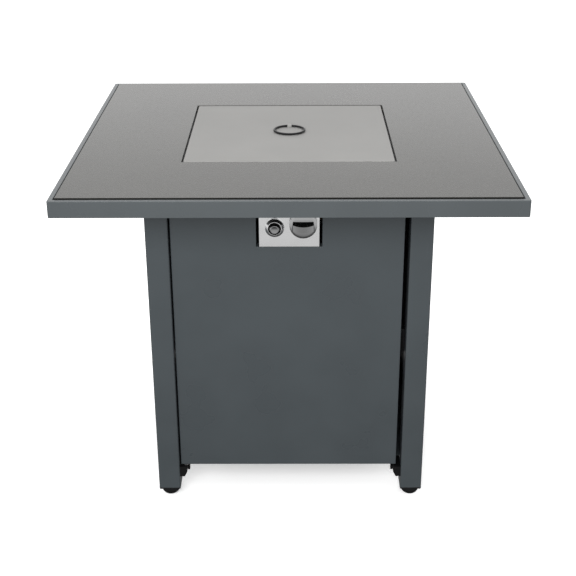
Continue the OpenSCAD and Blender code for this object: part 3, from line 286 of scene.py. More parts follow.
def powderCoat(name, values):
    finish, tree, surface = newFinish(name, {"Specular IOR Level": values["gloss"]})
    place = onPiece(tree)
    clouds = grain(tree, place, values["cloudSize"])
    peel = grain(tree, place, values["peelSize"], coatLook["peelDetail"])
    specks = cells(tree, place, values["speckSize"])
    patches = grain(tree, place, values["speckSize"] * coatLook["patchSize"])
    base = tint(tree, clouds, *shades(values["colour"], coatLook["clouds"]))
    worn = tint(tree, specks, shade(values["colour"], coatLook["speckShade"]), values["colour"],
                *coatLook["speckRange"])
    few = between(tree, patches, 0.0, coatLook["patchShare"], *coatLook["patchRange"])
    colour = mixed(tree, few, base, worn)
    rough = around(tree, clouds, values["rough"], coatLook["roughSpread"])
    plug(tree, surface, colour, rough, relief(tree, peel, values["peelDepth"], coatLook["peelStrength"]))
    return finish


def stoneTile(name, values):
    finish, tree, surface = newFinish(name, {"Specular IOR Level": values["gloss"]})
    place = onPiece(tree)
    clouds = grain(tree, place, values["cloudSize"], stoneLook["cloudDetail"], stoneLook["cloudHarsh"])
    sand = grain(tree, place, values["sandSize"], stoneLook["sandDetail"], stoneLook["sandHarsh"])
    chips = cells(tree, place, values["chipSize"])
    patches = grain(tree, place, values["chipSize"] * stoneLook["patchSize"])
    body = tint(tree, clouds, *shades(values["colour"], stoneLook["clouds"]))
    grains = tint(tree, sand, *shades(values["colour"], stoneLook["sand"]))
    soft = mixed(tree, between(tree, sand, *stoneLook["sandShare"]), body, grains)
    pale = tint(tree, chips, shade(values["colour"], stoneLook["chipShade"]), values["colour"],
                *stoneLook["chipRange"])
    some = between(tree, patches, 0.0, stoneLook["patchShare"], *stoneLook["patchRange"])
    face = mixed(tree, some, soft, pale)
    # painted shade: the tile's outer edge is darkened to stand in for the shadow in the groove between tile
    # and rim
    paintedGrooveShade = tint(tree, sand, *shades(values["colour"], values["grooveShadeFactors"]))
    axes = addNode(tree, "ShaderNodeSeparateXYZ", inputs={"Vector": place})
    across = worked(tree, "ABSOLUTE", axes.outputs["X"])
    along = worked(tree, "ABSOLUTE", axes.outputs["Y"])
    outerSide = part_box("top_tile")[1][0]
    edgeRange = (outerSide - inset for inset in values["edgeInsets"])
    grooveShadeMask = between(tree, worked(tree, "MAXIMUM", across, along), 0.0, 1.0, *edgeRange)
    colour = mixed(tree, grooveShadeMask, face, paintedGrooveShade)
    rough = around(tree, sand, values["rough"], stoneLook["roughSpread"])
    plug(tree, surface, colour, rough, relief(tree, sand, values["reliefDepth"], stoneLook["reliefStrength"]))
    return finish


def mouldedPlastic(name, values):
    finish, tree, surface = newFinish(name, {"Specular IOR Level": values["gloss"]})
    place = onPiece(tree)
    pebbles = cells(tree, place, values["pebbleSize"])
    flow = grain(tree, place, values["flowSize"])
    colour = tint(tree, flow, *shades(values["colour"], plasticLook["flow"]))
    rough = around(tree, flow, values["rough"], plasticLook["roughSpread"])
    bumps = relief(tree, pebbles, values["pebbleDepth"], plasticLook["pebbleStrength"])
    plug(tree, surface, colour, rough, bumps)
    return finish


def brightPlating(name, values):
    finish, tree, surface = newFinish(name, {"Metallic": 1.0})
    place = onPiece(tree)
    haze = grain(tree, place, values["hazeSize"])
    ripple = grain(tree, place, values["rippleSize"], platingLook["rippleDetail"])
    colour = tint(tree, haze, *shades(values["colour"], platingLook["haze"]))
    rough = between(tree, haze, *(values["rough"] * factor for factor in platingLook["rough"]))
    bumps = relief(tree, ripple, values["rippleDepth"], platingLook["rippleStrength"])
    plug(tree, surface, colour, rough, bumps)
    return finish


def rolledSteel(name, values):
    finish, tree, surface = newFinish(name, {"Metallic": 1.0})
    along = onPiece(tree, values["stretch"])
    lines = grain(tree, along, values["lineSize"], sheetLook["lineDetail"], sheetLook["lineHarsh"])
    clouds = grain(tree, onPiece(tree), values["cloudSize"])
    streaks = tint(tree, lines, *shades(values["colour"], sheetLook["lines"]))
    clouded = tint(tree, clouds, *shades(values["colour"], sheetLook["clouds"]))
    colour = mixed(tree, between(tree, clouds, *sheetLook["cloudShare"]), streaks, clouded)
    rough = around(tree, lines, values["rough"], sheetLook["roughSpread"])
    plug(tree, surface, colour, rough, relief(tree, lines, values["lineDepth"], sheetLook["lineStrength"]))
    return finish


def machinedMetal(name, values):
    finish, tree, surface = newFinish(name, {"Metallic": 1.0})
    place = onPiece(tree)
    clouds = grain(tree, place, values["cloudSize"])
    pits = grain(tree, place, values["pitSize"], metalLook["pitDetail"])
    dull = tint(tree, clouds, *shades(values["colour"], metalLook["clouds"]))
    speckled = tint(tree, pits, *shades(values["colour"], metalLook["pits"]))
    colour = mixed(tree, between(tree, pits, *metalLook["pitShare"]), dull, speckled)
    rough = around(tree, clouds, values["rough"], metalLook["roughSpread"])
    plug(tree, surface, colour, rough, relief(tree, pits, values["pitDepth"], metalLook["pitStrength"]))
    return finish


finishValues = {
    "paint": {"colour": (0.0455, 0.0540, 0.0590), "gloss": 0.5, "rough": 0.3, "cloudSize": 0.09,
              "peelSize": 0.0016, "peelDepth": 0.00010, "speckSize": 0.0011},
    # painted light: a lighter copy of the powder coat for the rim, for the light its open front and top catch
    "rimPaintedLight": {"colour": (0.058, 0.066, 0.0700), "gloss": 0.5, "rough": 0.28, "cloudSize": 0.09,
                 "peelSize": 0.0016, "peelDepth": 0.00008, "speckSize": 0.0011},
    "lidPaint": {"colour": (0.226, 0.2235, 0.2175), "gloss": 0.12, "rough": 0.58, "cloudSize": 0.12,
                 "peelSize": 0.0013, "peelDepth": 0.00012, "speckSize": 0.0010},
    "blackPaint": {"colour": (0.004, 0.004, 0.0043), "gloss": 0.2, "rough": 0.45, "cloudSize": 0.06,
                   "peelSize": 0.0014, "peelDepth": 0.00010, "speckSize": 0.0010},
    "ringPaint": {"colour": (0.006, 0.006, 0.0065), "gloss": 0.25, "rough": 0.38, "cloudSize": 0.02,
                  "peelSize": 0.0008, "peelDepth": 0.00005, "speckSize": 0.0008},
    "tile": {"colour": (0.0445, 0.0433, 0.0395), "gloss": 0.5, "rough": 0.22, "cloudSize": 0.16,
             "sandSize": 0.0022, "chipSize": 0.0045, "reliefDepth": 0.00011,
             # the edge factors darken the tile's outer edge, painted shade for the groove by the rim
             "edgeInsets": (0.0003, 0.0001), "grooveShadeFactors": (0.15, 0.225)},
    "blackPlastic": {"colour": (0.006, 0.006, 0.0065), "gloss": 0.25, "rough": 0.5, "pebbleSize": 0.0009,
                     "pebbleDepth": 0.00008, "flowSize": 0.012},
    "nylon": {"colour": (0.010, 0.010, 0.011), "gloss": 0.5, "rough": 0.4, "pebbleSize": 0.0008,
              "pebbleDepth": 0.00004, "flowSize": 0.006},
    "cushion": {"colour": (0.020, 0.020, 0.021), "gloss": 0.2, "rough": 0.85, "pebbleSize": 0.0012,
                "pebbleDepth": 0.00030, "flowSize": 0.010},
    "heatSeal": {"colour": (0.70, 0.67, 0.60), "gloss": 0.1, "rough": 0.92, "pebbleSize": 0.0020,
                 "pebbleDepth": 0.00045, "flowSize": 0.004},
    "leadSleeve": {"colour": (0.016, 0.016, 0.017), "gloss": 0.4, "rough": 0.45, "pebbleSize": 0.0007,
                   "pebbleDepth": 0.00003, "flowSize": 0.008},
    "ceramic": {"colour": (0.80, 0.78, 0.73), "gloss": 0.6, "rough": 0.25, "pebbleSize": 0.0012,
                "pebbleDepth": 0.00003, "flowSize": 0.005},
    "chrome": {"colour": (0.52, 0.524, 0.528), "rough": 0.09, "hazeSize": 0.012, "rippleSize": 0.006,
               "rippleDepth": 0.00001},
    "plate": {"colour": (0.95, 0.955, 0.96), "rough": 0.17, "hazeSize": 0.020, "rippleSize": 0.018,
              "rippleDepth": 0.00005},
    "button": {"colour": (0.36, 0.363, 0.366), "rough": 0.16, "hazeSize": 0.006, "rippleSize": 0.005,
               "rippleDepth": 0.00003},
    "stainless": {"colour": (0.42, 0.42, 0.43), "rough": 0.30, "stretch": (1.0, 14.0, 14.0),
                  "lineSize": 0.012, "cloudSize": 0.05, "lineDepth": 0.00004},
    "zinc": {"colour": (0.56, 0.57, 0.59), "rough": 0.34, "cloudSize": 0.004, "pitSize": 0.0008,
             "pitDepth": 0.00004},
    "brass": {"colour": (0.71, 0.52, 0.24), "rough": 0.34, "cloudSize": 0.012, "pitSize": 0.0010,
              "pitDepth": 0.00008},
    "copper": {"colour": (0.72, 0.38, 0.24), "rough": 0.36, "cloudSize": 0.010, "pitSize": 0.0010,
               "pitDepth": 0.00005},
}
finishes = {
    "powder_coat": powderCoat("powderCoat", finishValues["paint"]),
    "rim_painted_light_coat": powderCoat("rimCoat", finishValues["rimPaintedLight"]),
    "lid_coat": powderCoat("lidCoat", finishValues["lidPaint"]),
    "black_coat": powderCoat("blackCoat", finishValues["blackPaint"]),
    "ring_black": powderCoat("ringBlack", finishValues["ringPaint"]),
    "tile": stoneTile("stoneTile", finishValues["tile"]),
    "black_plastic": mouldedPlastic("blackPlastic", finishValues["blackPlastic"]),
    "nylon": mouldedPlastic("blackNylon", finishValues["nylon"]),
    "cushion": mouldedPlastic("foamStrip", finishValues["cushion"]),
    "heat_seal": mouldedPlastic("fibreSeal", finishValues["heatSeal"]),
    "lead_sleeve": mouldedPlastic("leadSleeve", finishValues["leadSleeve"]),
    "ceramic": mouldedPlastic("glazedCeramic", finishValues["ceramic"]),
    "chrome": brightPlating("chromePlating", finishValues["chrome"]),
    "bright_plate": brightPlating("brightPlate", finishValues["plate"]),
    "button": brightPlating("buttonPlating", finishValues["button"]),
    "stainless": rolledSteel("stainlessSheet", finishValues["stainless"]),
    "zinc": machinedMetal("zincPlating", finishValues["zinc"]),
    "brass": machinedMetal("brass", finishValues["brass"]),
    "copper": machinedMetal("copper", finishValues["copper"]),
}
print("finishes ready:", len(finishes))


# Mesh steps that the pieces share. Sizes are in millimetres

meshLimits = {
    "merge": 2e-6, "plane": 2e-5, "inLine": 1e-4,     # metres
    "flat": 0.4, "crease": 38.0, "sharp": 34.0,       # degrees
    "discMatch": 0.05,                                # share of a disc's area
}
sides = {"left": (0, 0), "right": (0, 1), "front": (1, 0), "rear": (1, 1), "bottom": (2, 0), "top": (2, 1)}
facing = {"front": (0.0, -1.0, 0.0), "up": (0.0, 0.0, 1.0)}


def middle(nodeName):     # to a hundredth, because a round node's mesh has flats
    low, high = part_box(nodeName)
    return [round((start + end) / 2 / mm, 2) for start, end in zip(low, high)]


def sideAt(nodeName, side):
    axis, end = sides[side]
    return round(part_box(nodeName)[end][axis] / mm, 2)


def standing(nodeName):     # the middle of the node's underside
    place = middle(nodeName)
    place[2] = sideAt(nodeName, "bottom")
    return place


def cadCopy(nodeName):
    bm = bmesh.new()
    bm.from_mesh(frame["nodes"][nodeName].data)
    bmesh.ops.remove_doubles(bm, verts=bm.verts, dist=meshLimits["merge"])
    flat = math.radians(meshLimits["flat"])
    bmesh.ops.dissolve_limit(bm, angle_limit=flat, verts=bm.verts, edges=bm.edges)
    return bm


def onSide(nodeName, side):
    axis, end = sides[side]
    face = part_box(nodeName)[end][axis]
    return lambda edge: all(abs(vert.co[axis] - face) < meshLimits["plane"] for vert in edge.verts)


def roundEdges(bm, radius, segments, chosen=None):
    crease = math.radians(meshLimits["crease"])
    sharp = [edge for edge in bm.edges if edge.is_manifold and edge.calc_face_angle() > crease]
    if chosen is not None:
        sharp = [edge for edge in sharp if chosen(edge)]
    bmesh.ops.bevel(bm, geom=sharp, offset=radius * mm, offset_type="OFFSET", affect="EDGES",
                    segments=segments, profile=0.5, material=-1, clamp_overlap=True, loop_slide=True)


def aim(bm, start, direction):
    turned = Vector(facing["up"]).rotation_difference(Vector(direction)).to_matrix().to_4x4()
    bmesh.ops.transform(bm, matrix=Matrix.Translation(Vector(start) * mm) @ turned, verts=bm.verts)


def spun(bm, geom, steps, angle=math.tau, rise=0.0):
    bmesh.ops.spin(bm, geom=geom, cent=(0, 0, 0), axis=facing["up"], dvec=(0, 0, rise * mm), angle=angle,
                   steps=steps, use_merge=rise == 0.0, use_normal_flip=False, use_duplicate=False)


def turnedPiece(profile, steps=72):     # (radius, height) pairs
    bm = bmesh.new()
    verts = [bm.verts.new((radius * mm, 0.0, height * mm)) for radius, height in profile]
    edges = [bm.edges.new(pair) for pair in zip(verts, verts[1:])]
    spun(bm, verts + edges, steps)
    bmesh.ops.remove_doubles(bm, verts=bm.verts, dist=meshLimits["merge"])
    bmesh.ops.recalc_face_normals(bm, faces=bm.faces)
    return bm


def threadRidge(crest, depth, pitch, low, high, steps=28):
    bm = bmesh.new()
    corners = ((crest - depth, low), (crest, low + pitch / 2), (crest - depth, low + pitch))
    verts = [bm.verts.new((radius * mm, 0.0, height * mm)) for radius, height in corners]
    tip = bm.faces.new(verts)
    turns = int((high - low) / pitch) - 1
    spun(bm, [tip, *tip.edges, *tip.verts], turns * steps, turns * math.tau, pitch / steps)
    bmesh.ops.holes_fill(bm, edges=bm.edges, sides=3)
    bmesh.ops.recalc_face_normals(bm, faces=bm.faces)
    return bm


def joined(first, *others):
    for other in others:
        scratch = bpy.data.meshes.new("scratch")
        other.to_mesh(scratch)
        other.free()
        first.from_mesh(scratch)
        bpy.data.meshes.remove(scratch)
    return first


def carved(solid, cutter, operation="DIFFERENCE"):
    made = []
    for part in (solid, cutter):
        mesh = bpy.data.meshes.new("scratch")
        part.to_mesh(mesh)
        part.free()
        made.append(bpy.data.objects.new("scratch", mesh))
        scene.collection.objects.link(made[-1])
    step = made[0].modifiers.new("carve", "BOOLEAN")
    step.object = made[1]
    step.operation = operation
    step.solver = "EXACT"
    bm = bmesh.new()
    bm.from_object(made[0], bpy.context.evaluated_depsgraph_get())
    for scratch in made:
        bpy.data.meshes.remove(scratch.data)
    return bm


# stands says whether the piece takes the CAD node's place, finish a look other than its slot's
def newPiece(name, bm, nodeName, slot=None, stands=True, finish=None):
    bmesh.ops.dissolve_degenerate(bm, dist=meshLimits["merge"], edges=bm.edges)
    mesh = bpy.data.meshes.new(name)
    bm.to_mesh(mesh)
    bm.free()
    if "custom_normal" in mesh.attributes:
        mesh.attributes.remove(mesh.attributes["custom_normal"])
    mesh.shade_smooth()
    mesh.set_sharp_from_angle(angle=math.radians(meshLimits["sharp"]))
    mesh.materials.clear()
    mesh.materials.append(finishes[finish or slot or slotOf[nodeName]])
    piece = bpy.data.objects.new(name, mesh)
    scene.collection.objects.link(piece)
    evened = piece.modifiers.new("evenShading", "WEIGHTED_NORMAL")
    evened.keep_sharp = True
    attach(piece, bodyOf[nodeName])
    if stands:
        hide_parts(nodeName)
    return piece


def pieceName(nodeName):
    first, *rest = nodeName.split("_")
    return first + "".join(word.capitalize() for word in rest)


# Pieces that keep the CAD outline. Folded sheet has the fold radius along one side's edges and the edge
# radius on the rest, an edged piece has one radius all over

foldedPieces = {
    # the rim takes the lighter copy of the coat, painted light
    "tabletop_rim": {"side": "top", "fold": 1.4, "edge": 0.4, "finish": "rim_painted_light_coat"},
    "burner_lid": {"side": "top", "fold": 1.6, "edge": 0.3},
    "access_door": {"side": "front", "fold": 1.5, "edge": 0.25},
    "left_panel": {"side": "left", "fold": 1.5, "edge": 0.25},
    "right_panel": {"side": "right", "fold": 1.5, "edge": 0.25},
    "rear_panel": {"side": "rear", "fold": 1.5, "edge": 0.25},
    "control_plate": {"side": "front", "fold": 1.3, "edge": 0.3},
}
edgedPieces = {
    "top_tile": 0.7, "underframe_bars": 0.5, "tile_pads": 0.6, "opening_frame": 0.7, "bowl_seal": 1.0,
    "fire_bowl": 0.4, "gas_elbow": 0.8, "air_mixer": 0.4, "control_hanger": 0.4,
    "ignition_bracket": 0.4, "pull_ring_eye": 0.5, "front_left_leg": 0.4, "front_right_leg": 0.4,
    "rear_left_leg": 0.4, "rear_right_leg": 0.4, "leg_plugs": 0.8, "front_top_rail": 0.6,
    "rear_top_rail": 0.6, "left_top_rail": 0.6, "right_top_rail": 0.6, "left_runner": 0.6,
    "right_runner": 0.6, "tank_tray": 0.5, "door_bushes": 0.25, "door_pivot_pins": 0.3,
    "upper_pivot_plate": 0.4, "valve_push_rod": 0.5, "valve_spindle": 0.5,
}
for nodeName, values in foldedPieces.items():
    bm = cadCopy(nodeName)
    roundEdges(bm, values["fold"], 4, onSide(nodeName, values["side"]))
    roundEdges(bm, values["edge"], 2)
    newPiece(pieceName(nodeName), bm, nodeName, finish=values.get("finish"))
for nodeName, radius in edgedPieces.items():
    bm = cadCopy(nodeName)
    roundEdges(bm, radius, 3)
    piece = newPiece(pieceName(nodeName), bm, nodeName)
ringMaterials = frame["nodes"]["burner_ring"].data.materials     # the burner ring keeps its CAD mesh
ringMaterials.clear()
ringMaterials.append(finishes[slotOf["burner_ring"]])
print("sheet, legs and rails ready")


# Lid ring

ringForm = {"radius": 28.0, "wire": 2.0, "steps": 96, "wireSteps": 16}

bm = bmesh.new()
bmesh.ops.create_circle(bm, cap_ends=False, segments=ringForm["wireSteps"], radius=ringForm["wire"] * mm)
bmesh.ops.rotate(bm, verts=bm.verts, cent=(0, 0, 0), matrix=Matrix.Rotation(math.pi / 2, 3, "X"))
bmesh.ops.translate(bm, verts=bm.verts, vec=(ringForm["radius"] * mm, 0, 0))
spun(bm, bm.verts[:] + bm.edges[:], ringForm["steps"])
bmesh.ops.remove_doubles(bm, verts=bm.verts, dist=meshLimits["merge"])
bmesh.ops.recalc_face_normals(bm, faces=bm.faces)
aim(bm, middle("pull_ring"), facing["up"])
newPiece("pullRing", bm, "pull_ring")
print("lid ring ready")


# Knob and igniter on the control plate. Their heights are measured out of the plate's face

knobForm = {
    "dome": [(0.0, 5.0), (24.0, 5.0), (24.0, 12.2), (23.2, 13.3), (21.5, 14.1), (19.0, 14.3), (16.0, 14.5),
             (12.0, 14.72), (8.0, 14.88), (4.0, 14.97), (0.0, 15.0)],
    "skirtRound": 0.5,
    "grip": {"from": 12.4, "to": 37.0, "foot": 15.0, "crest": 9.6, "length": 38.0, "spare": 4.0,
             "arch": 24.0, "front": 34.6, "lean": 3.6, "cutter": 40.0},
    "gripRound": 1.8,
}
igniterForm = {
    "bezel": [(11.05, 0.0), (16.5, 0.0), (16.5, 3.5), (12.05, 8.0), (11.05, 8.0), (11.05, 0.0)],
    "bezelRound": 0.45,
    "bezelFinish": "bright_plate",
    "button": [(0.0, -16.0), (8.5, -16.0), (8.5, 11.5), (7.0, 13.0), (5.6, 13.0), (4.6, 12.6), (0.0, 12.4)],
    "buttonRound": 0.4,
    "body": [(0.0, -53.5), (11.0, -53.5), (11.0, -16.0), (10.4, -15.4), (10.4, 2.9), (9.8, 3.5), (8.55, 3.5),
             (8.55, -21.0), (0.0, -21.0)],
    "bodyRound": 0.6,
    "thread": {"crest": 11.0, "depth": 0.6, "pitch": 1.0, "low": -15.0, "high": 3.0, "steps": 48},
    "terminal": [(0.0, -59.5), (1.6, -59.5), (2.0, -59.1), (2.0, -53.0), (0.0, -53.0)],
    "nutBlank": [(0.0, -7.5), (15.0, -7.5), (17.3, -6.3), (17.3, -2.7), (15.0, -1.5), (0.0, -1.5)],
}


def knobGrip(values):
    bm = bmesh.new()
    made = bmesh.ops.create_cube(bm, size=mm)
    size = (values["length"] + values["spare"], values["foot"], values["to"] - values["from"])
    bmesh.ops.scale(bm, vec=size, verts=bm.verts)
    front = [vert for vert in made["verts"] if vert.co.z > 0]
    bmesh.ops.scale(bm, vec=(1.0, values["crest"] / values["foot"], 1.0), verts=front)
    bmesh.ops.translate(bm, verts=bm.verts, vec=(0, 0, (values["from"] + values["to"]) / 2 * mm))
    # one cylinder gives the bar its round ends, a second one its arched front
    radius, cutter = values["length"] / 2, values["cutter"]
    ends = turnedPiece([(0.0, 0.0), (radius, 0.0), (radius, cutter), (0.0, cutter)], 96)
    radius, half = values["arch"], cutter / 2
    arch = turnedPiece([(0.0, -half), (radius, -half), (radius, half), (0.0, half)], 160)
    turned = Matrix.Rotation(math.radians(90.0 + values["lean"]), 4, "X")
    seat = Matrix.Translation((0, 0, (values["front"] - values["arch"]) * mm))
    bmesh.ops.transform(arch, matrix=seat @ turned, verts=arch.verts)
    return carved(carved(bm, ends, "INTERSECT"), arch, "INTERSECT")


def onPlate(nodeName):     # where a control's middle line meets the plate's face
    place = middle(nodeName)
    place[1] = sideAt("control_plate", "front")
    return place


knobPlace = onPlate("control_knob")
blank = turnedPiece(knobForm["dome"], 96)
aim(blank, knobPlace, facing["front"])
bm = carved(cadCopy("control_knob"), blank, "INTERSECT")
roundEdges(bm, knobForm["skirtRound"], 3)
grip = knobGrip(knobForm["grip"])
roundEdges(grip, knobForm["gripRound"], 4)
aim(grip, knobPlace, facing["front"])
newPiece("controlKnob", joined(bm, grip), "control_knob")

igniterPlace = onPlate("igniter_bezel")
for part in ("bezel", "button"):
    bm = turnedPiece(igniterForm[part], 96)
    roundEdges(bm, igniterForm[part + "Round"], 3)
    aim(bm, igniterPlace, facing["front"])
    newPiece(pieceName("igniter_" + part), bm, "igniter_" + part, finish=igniterForm.get(part + "Finish"))
bm = turnedPiece(igniterForm["body"])
roundEdges(bm, igniterForm["bodyRound"], 2)
joined(bm, threadRidge(**igniterForm["thread"]))
aim(bm, igniterPlace, facing["front"])
newPiece("igniterBody", bm, "igniter_body")
bm = turnedPiece(igniterForm["terminal"], 32)
aim(bm, igniterPlace, facing["front"])
newPiece("igniterTerminal", bm, "igniter_body", "zinc", stands=False)
blank = turnedPiece(igniterForm["nutBlank"])
aim(blank, igniterPlace, facing["front"])
newPiece("igniterLocknut", carved(cadCopy("igniter_locknut"), blank, "INTERSECT"), "igniter_locknut")
print("knob and igniter ready")


# Gas valve, feed tube, burner nut and pilot parts

valveForm = {
    "edge": 0.9,
    "groove": [(7.09, 0.8), (10.2, 0.8), (10.2, 17.0), (7.09, 17.0), (7.09, 0.8)],
    "thread": {"crest": 7.9, "depth": 0.85, "pitch": 1.41, "low": 1.0, "high": 15.8, "steps": 40},
}
burnerNut = [(0.0, 0.0), (15.2, 0.0), (17.3, 1.2), (17.3, 6.8), (15.2, 8.0), (0.0, 8.0)]
electrodeForm = {
    "ceramic": [(0.0, 0.0), (3.5, 0.0), (3.5, 12.5), (5.5, 12.5), (5.5, 15.5), (3.5, 15.5), (3.5, 38.5),
                (0.0, 38.5)],
    "ceramicRound": 0.5,
    "wire": [(0.0, 36.5), (1.0, 36.5), (1.0, 48.5), (0.0, 48.5)],
    "wireRound": 0.4,
}
thermocoupleForm = {
    "sheath": [(0.0, 0.0), (3.0, 0.0), (3.0, 12.5), (5.5, 12.5), (5.5, 15.5), (3.0, 15.5), (3.0, 29.5),
               (0.0, 29.5)],
    "sheathRound": 0.5,
    "tip": [(0.0, 27.5), (2.0, 27.5), (2.0, 43.5), (0.0, 43.5)],
    "tipRound": 1.2,
}
pilotPieces = {     # form, part, node, and the slot of a part that stands beside the node's main one
    "ignitionElectrode": (electrodeForm, "ceramic", "ignition_electrode", None),
    "electrodeWire": (electrodeForm, "wire", "ignition_electrode", "stainless"),
    "thermocoupleSheath": (thermocoupleForm, "sheath", "thermocouple", None),
    "thermocoupleTip": (thermocoupleForm, "tip", "thermocouple", "copper"),
}
tubeSteps = {"along": 48, "round": 5}
bentTubes = {     # leave and arrive are the reach of the bend at its two ends
    "gas_feed_tube": {"radius": 5.0, "start": (24.0, -177.5, 547.0), "leave": (0.0, 42.75, 0.0),
                      "arrive": (0.0, 42.75, 0.0), "end": (0.0, -92.0, 528.5)},
    "ignition_lead": {"radius": 1.5, "start": (-25.0, -183.5, 547.0), "leave": (0.0, 36.7, 0.0),
                      "arrive": (0.0, 0.0, 18.0), "end": (-70.0, -120.0, 546.5)},
    "thermocouple_lead": {"radius": 1.5, "start": (13.0, -187.5, 547.0), "leave": (0.0, 37.5, 0.0),
                          "arrive": (0.0, 0.0, 18.0), "end": (-50.0, -120.0, 546.5)},
}


def bentTube(values):
    start, leave, arrive, end = (Vector(values[key]) * mm for key in ("start", "leave", "arrive", "end"))
    path = bpy.data.curves.new("scratchPath", "CURVE")
    path.dimensions = "3D"
    path.resolution_u = tubeSteps["along"]
    path.bevel_depth = values["radius"] * mm
    path.bevel_resolution = tubeSteps["round"]
    path.use_fill_caps = True
    run = path.splines.new("BEZIER")
    run.bezier_points.add(1)
    for point, place, back, forth in zip(run.bezier_points, (start, end), (-leave, -arrive), (leave, arrive)):
        point.co = place
        point.handle_left = place + back
        point.handle_right = place + forth
    scratch = bpy.data.objects.new("scratchPath", path)
    mesh = bpy.data.meshes.new_from_object(scratch)
    bm = bmesh.new()
    bm.from_mesh(mesh)
    bmesh.ops.remove_doubles(bm, verts=bm.verts, dist=meshLimits["merge"])
    bmesh.ops.recalc_face_normals(bm, faces=bm.faces)
    bpy.data.meshes.remove(mesh)
    bpy.data.curves.remove(path)
    return bm


inlet = next(mount for mount in record["mounts"] if mount["name"] == "gas_inlet")
inletRoot = Vector(inlet["pos_m"]) / mm - Vector(inlet["axis"]) * inlet["dims"]["length_mm"] / 2
bm = cadCopy("gas_valve")
roundEdges(bm, valveForm["edge"], 3)
groove = turnedPiece(valveForm["groove"])
aim(groove, inletRoot, inlet["axis"])
bm = carved(bm, groove)
thread = threadRidge(**valveForm["thread"])
aim(thread, inletRoot, inlet["axis"])
newPiece("gasValve", joined(bm, thread), "gas_valve")

for nodeName, values in bentTubes.items():
    newPiece(pieceName(nodeName), bentTube(values), nodeName)

blank = turnedPiece(burnerNut)
aim(blank, standing("burner_locknut"), facing["up"])
newPiece("burnerLocknut", carved(cadCopy("burner_locknut"), blank, "INTERSECT"), "burner_locknut")

for name, (form, part, nodeName, slot) in pilotPieces.items():
    bm = turnedPiece(form[part], 48)
    roundEdges(bm, form[part + "Round"], 4)
    aim(bm, standing(nodeName), facing["up"])
    newPiece(name, bm, nodeName, slot, stands=slot is None)
print("gas train and pilot ready")


# Levelling feet

footForm = {
    "profile": [(0.0, 0.0), (17.0, 0.0), (17.0, 17.7), (3.35, 17.7), (3.35, 51.7), (0.0, 51.7)],
    "soleRound": 12.0,
    "topRound": 1.0,
    "thread": {"crest": 4.0, "depth": 0.65, "pitch": 1.25, "low": 18.0, "high": 51.4},
}
corners = ("front_left", "front_right", "rear_left", "rear_right")


def onFloor(edge):
    return all(vert.co.z < meshLimits["plane"] for vert in edge.verts)


for corner in corners:
    nodeName = corner + "_foot"
    bm = turnedPiece(footForm["profile"])
    roundEdges(bm, footForm["soleRound"], 8, onFloor)
    roundEdges(bm, footForm["topRound"], 2)
    joined(bm, threadRidge(**footForm["thread"]))
    aim(bm, standing(nodeName), facing["up"])
    newPiece(pieceName(nodeName), bm, nodeName)
print("feet ready")


# Screws with a cross recess, and bolts with a hexagon socket. Each stands where the CAD screw has its head

screwForm = {
    "head": 3.75, "height": 2.5, "shank": 2.0, "core": 1.62, "pitch": 0.7,
    "crown": [(3.75, 0.0), (3.75, 0.9), (3.3, 1.75), (2.3, 2.3), (0.0, 2.5)],
    "recess": {"width": 0.9, "length": 3.9, "depth": 1.5},
    "step": 37.0,     # degrees that each one is turned on from the last
}
boltForm = {
    "head": 5.5, "height": 4.0, "shank": 3.0, "core": 2.45, "pitch": 1.0,
    "crown": [(5.5, 0.0), (5.5, 3.5), (5.0, 4.0), (0.0, 4.0)],
    "socket": {"radius": 2.9, "depth": 2.6},
    "step": 23.0,
}
stemFit = {"tipTaper": 0.3, "tipLength": 0.5, "fewestTurns": 3, "tailGap": 0.4, "headGap": 0.2,
           "steps": 40, "threadSteps": 20}
fasteners = {
    "control_screws": screwForm, "panel_screws": screwForm,
    "top_bolts": boltForm, "runner_bolts": boltForm,
}


def discs(bm, radius):
    area = math.pi * (radius * mm) ** 2
    return [face for face in bm.faces if abs(face.calc_area() / area - 1) < meshLimits["discMatch"]]


def fastenerPlaces(nodeName, form):
    bm = cadCopy(nodeName)
    tails = [face.calc_center_median() for face in discs(bm, form["shank"])]
    places = []
    for cap in discs(bm, form["head"]):
        centre, outward = cap.calc_center_median(), cap.normal.copy()
        steps = [centre - tail for tail in tails]
        inLine = [step for step in steps if step.cross(outward).length < meshLimits["inLine"]]
        reach = min(step.dot(outward) for step in inLine if step.dot(outward) > 0)
        places.append((centre / mm, outward, reach / mm - form["height"]))
    bm.free()
    return places


def recessCutters(form):     # one hexagon, or the two slots of a cross
    cutters = []
    if "socket" in form:
        radius, depth = (form["socket"][key] * mm for key in ("radius", "depth"))
        bm = bmesh.new()
        bmesh.ops.create_cone(bm, cap_ends=True, segments=6, radius1=radius, radius2=radius, depth=2 * depth)
        cutters.append(bm)
    else:
        width, length, depth = (form["recess"][key] for key in ("width", "length", "depth"))
        for size in ((length, width, 2 * depth), (width, length, 2 * depth)):
            bm = bmesh.new()
            bmesh.ops.create_cube(bm, size=mm)
            bmesh.ops.scale(bm, vec=size, verts=bm.verts)
            cutters.append(bm)
    for bm in cutters:
        bmesh.ops.translate(bm, verts=bm.verts, vec=(0, 0, form["height"] * mm))
    return cutters


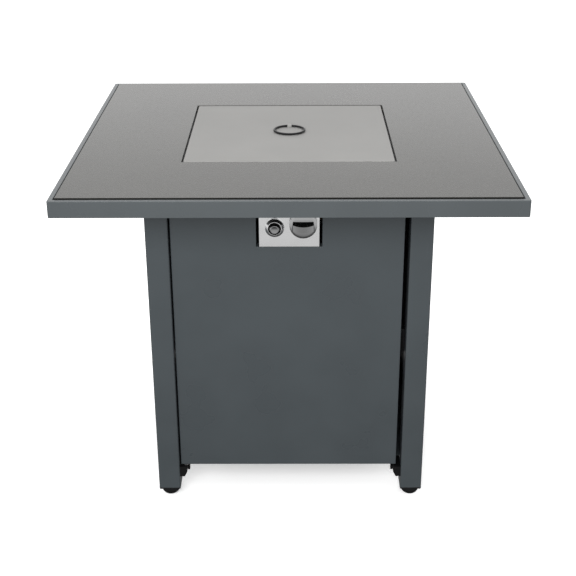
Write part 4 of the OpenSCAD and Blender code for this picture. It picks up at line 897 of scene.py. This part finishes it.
def fastener(form, length):
    core, pitch = form["core"], form["pitch"]
    tip = [(0.0, -length), (core - stemFit["tipTaper"], -length), (core, stemFit["tipLength"] - length)]
    bm = turnedPiece([*tip, (core, 0.0), *form["crown"]], stemFit["steps"])
    for cutter in recessCutters(form):
        bm = carved(bm, cutter)
    if length > stemFit["fewestTurns"] * pitch:
        low, high = stemFit["tailGap"] - length, -stemFit["headGap"]
        joined(bm, threadRidge(form["shank"], form["shank"] - core, pitch, low, high, stemFit["threadSteps"]))
    return bm


for nodeName, form in fasteners.items():
    whole = bmesh.new()
    patterns = {}     # one for each length
    places = fastenerPlaces(nodeName, form)
    for count, (centre, outward, length) in enumerate(places):
        length = round(length, 2)
        if length not in patterns:
            patterns[length] = fastener(form, length)
        bm = patterns[length].copy()
        turned = Matrix.Rotation(math.radians(count * form["step"]), 3, "Z")
        bmesh.ops.rotate(bm, verts=bm.verts, cent=(0, 0, 0), matrix=turned)
        aim(bm, centre - outward * form["height"], outward)
        joined(whole, bm)
    for pattern in patterns.values():
        pattern.free()
    newPiece(pieceName(nodeName), whole, nodeName)
    print(nodeName, "made:", len(places))


# Magnetic catch behind the door's free edge. back is how far a block starts behind the catch's front

catchForm = {
    "housing": {"size": (14.0, 12.2, 44.0), "back": 1.8, "edge": 1.2},
    "magnet": {"size": (3.4, 6.0, 34.0), "back": 0.7, "edge": 0.4},
    "pole": {"size": (2.0, 9.7, 38.0), "back": 0.0, "edge": 0.4},
    "poleSpread": 3.0,
}


def catchBlock(values, aside=0.0):
    place = middle("magnet_catch")
    place[0] += aside
    place[1] = sideAt("magnet_catch", "front") + values["back"] + values["size"][1] / 2
    bm = bmesh.new()
    bmesh.ops.create_cube(bm, size=mm)
    bmesh.ops.scale(bm, vec=values["size"], verts=bm.verts)
    bmesh.ops.translate(bm, verts=bm.verts, vec=Vector(place) * mm)
    roundEdges(bm, values["edge"], 3)
    return bm


newPiece("magnetCatch", catchBlock(catchForm["housing"]), "magnet_catch")
newPiece("catchMagnet", catchBlock(catchForm["magnet"]), "magnet_catch", "black_coat", stands=False)
poles = joined(*(catchBlock(catchForm["pole"], sign * catchForm["poleSpread"]) for sign in (-1, 1)))
newPiece("catchPoles", poles, "magnet_catch", "black_coat", stands=False)
print("catch ready")
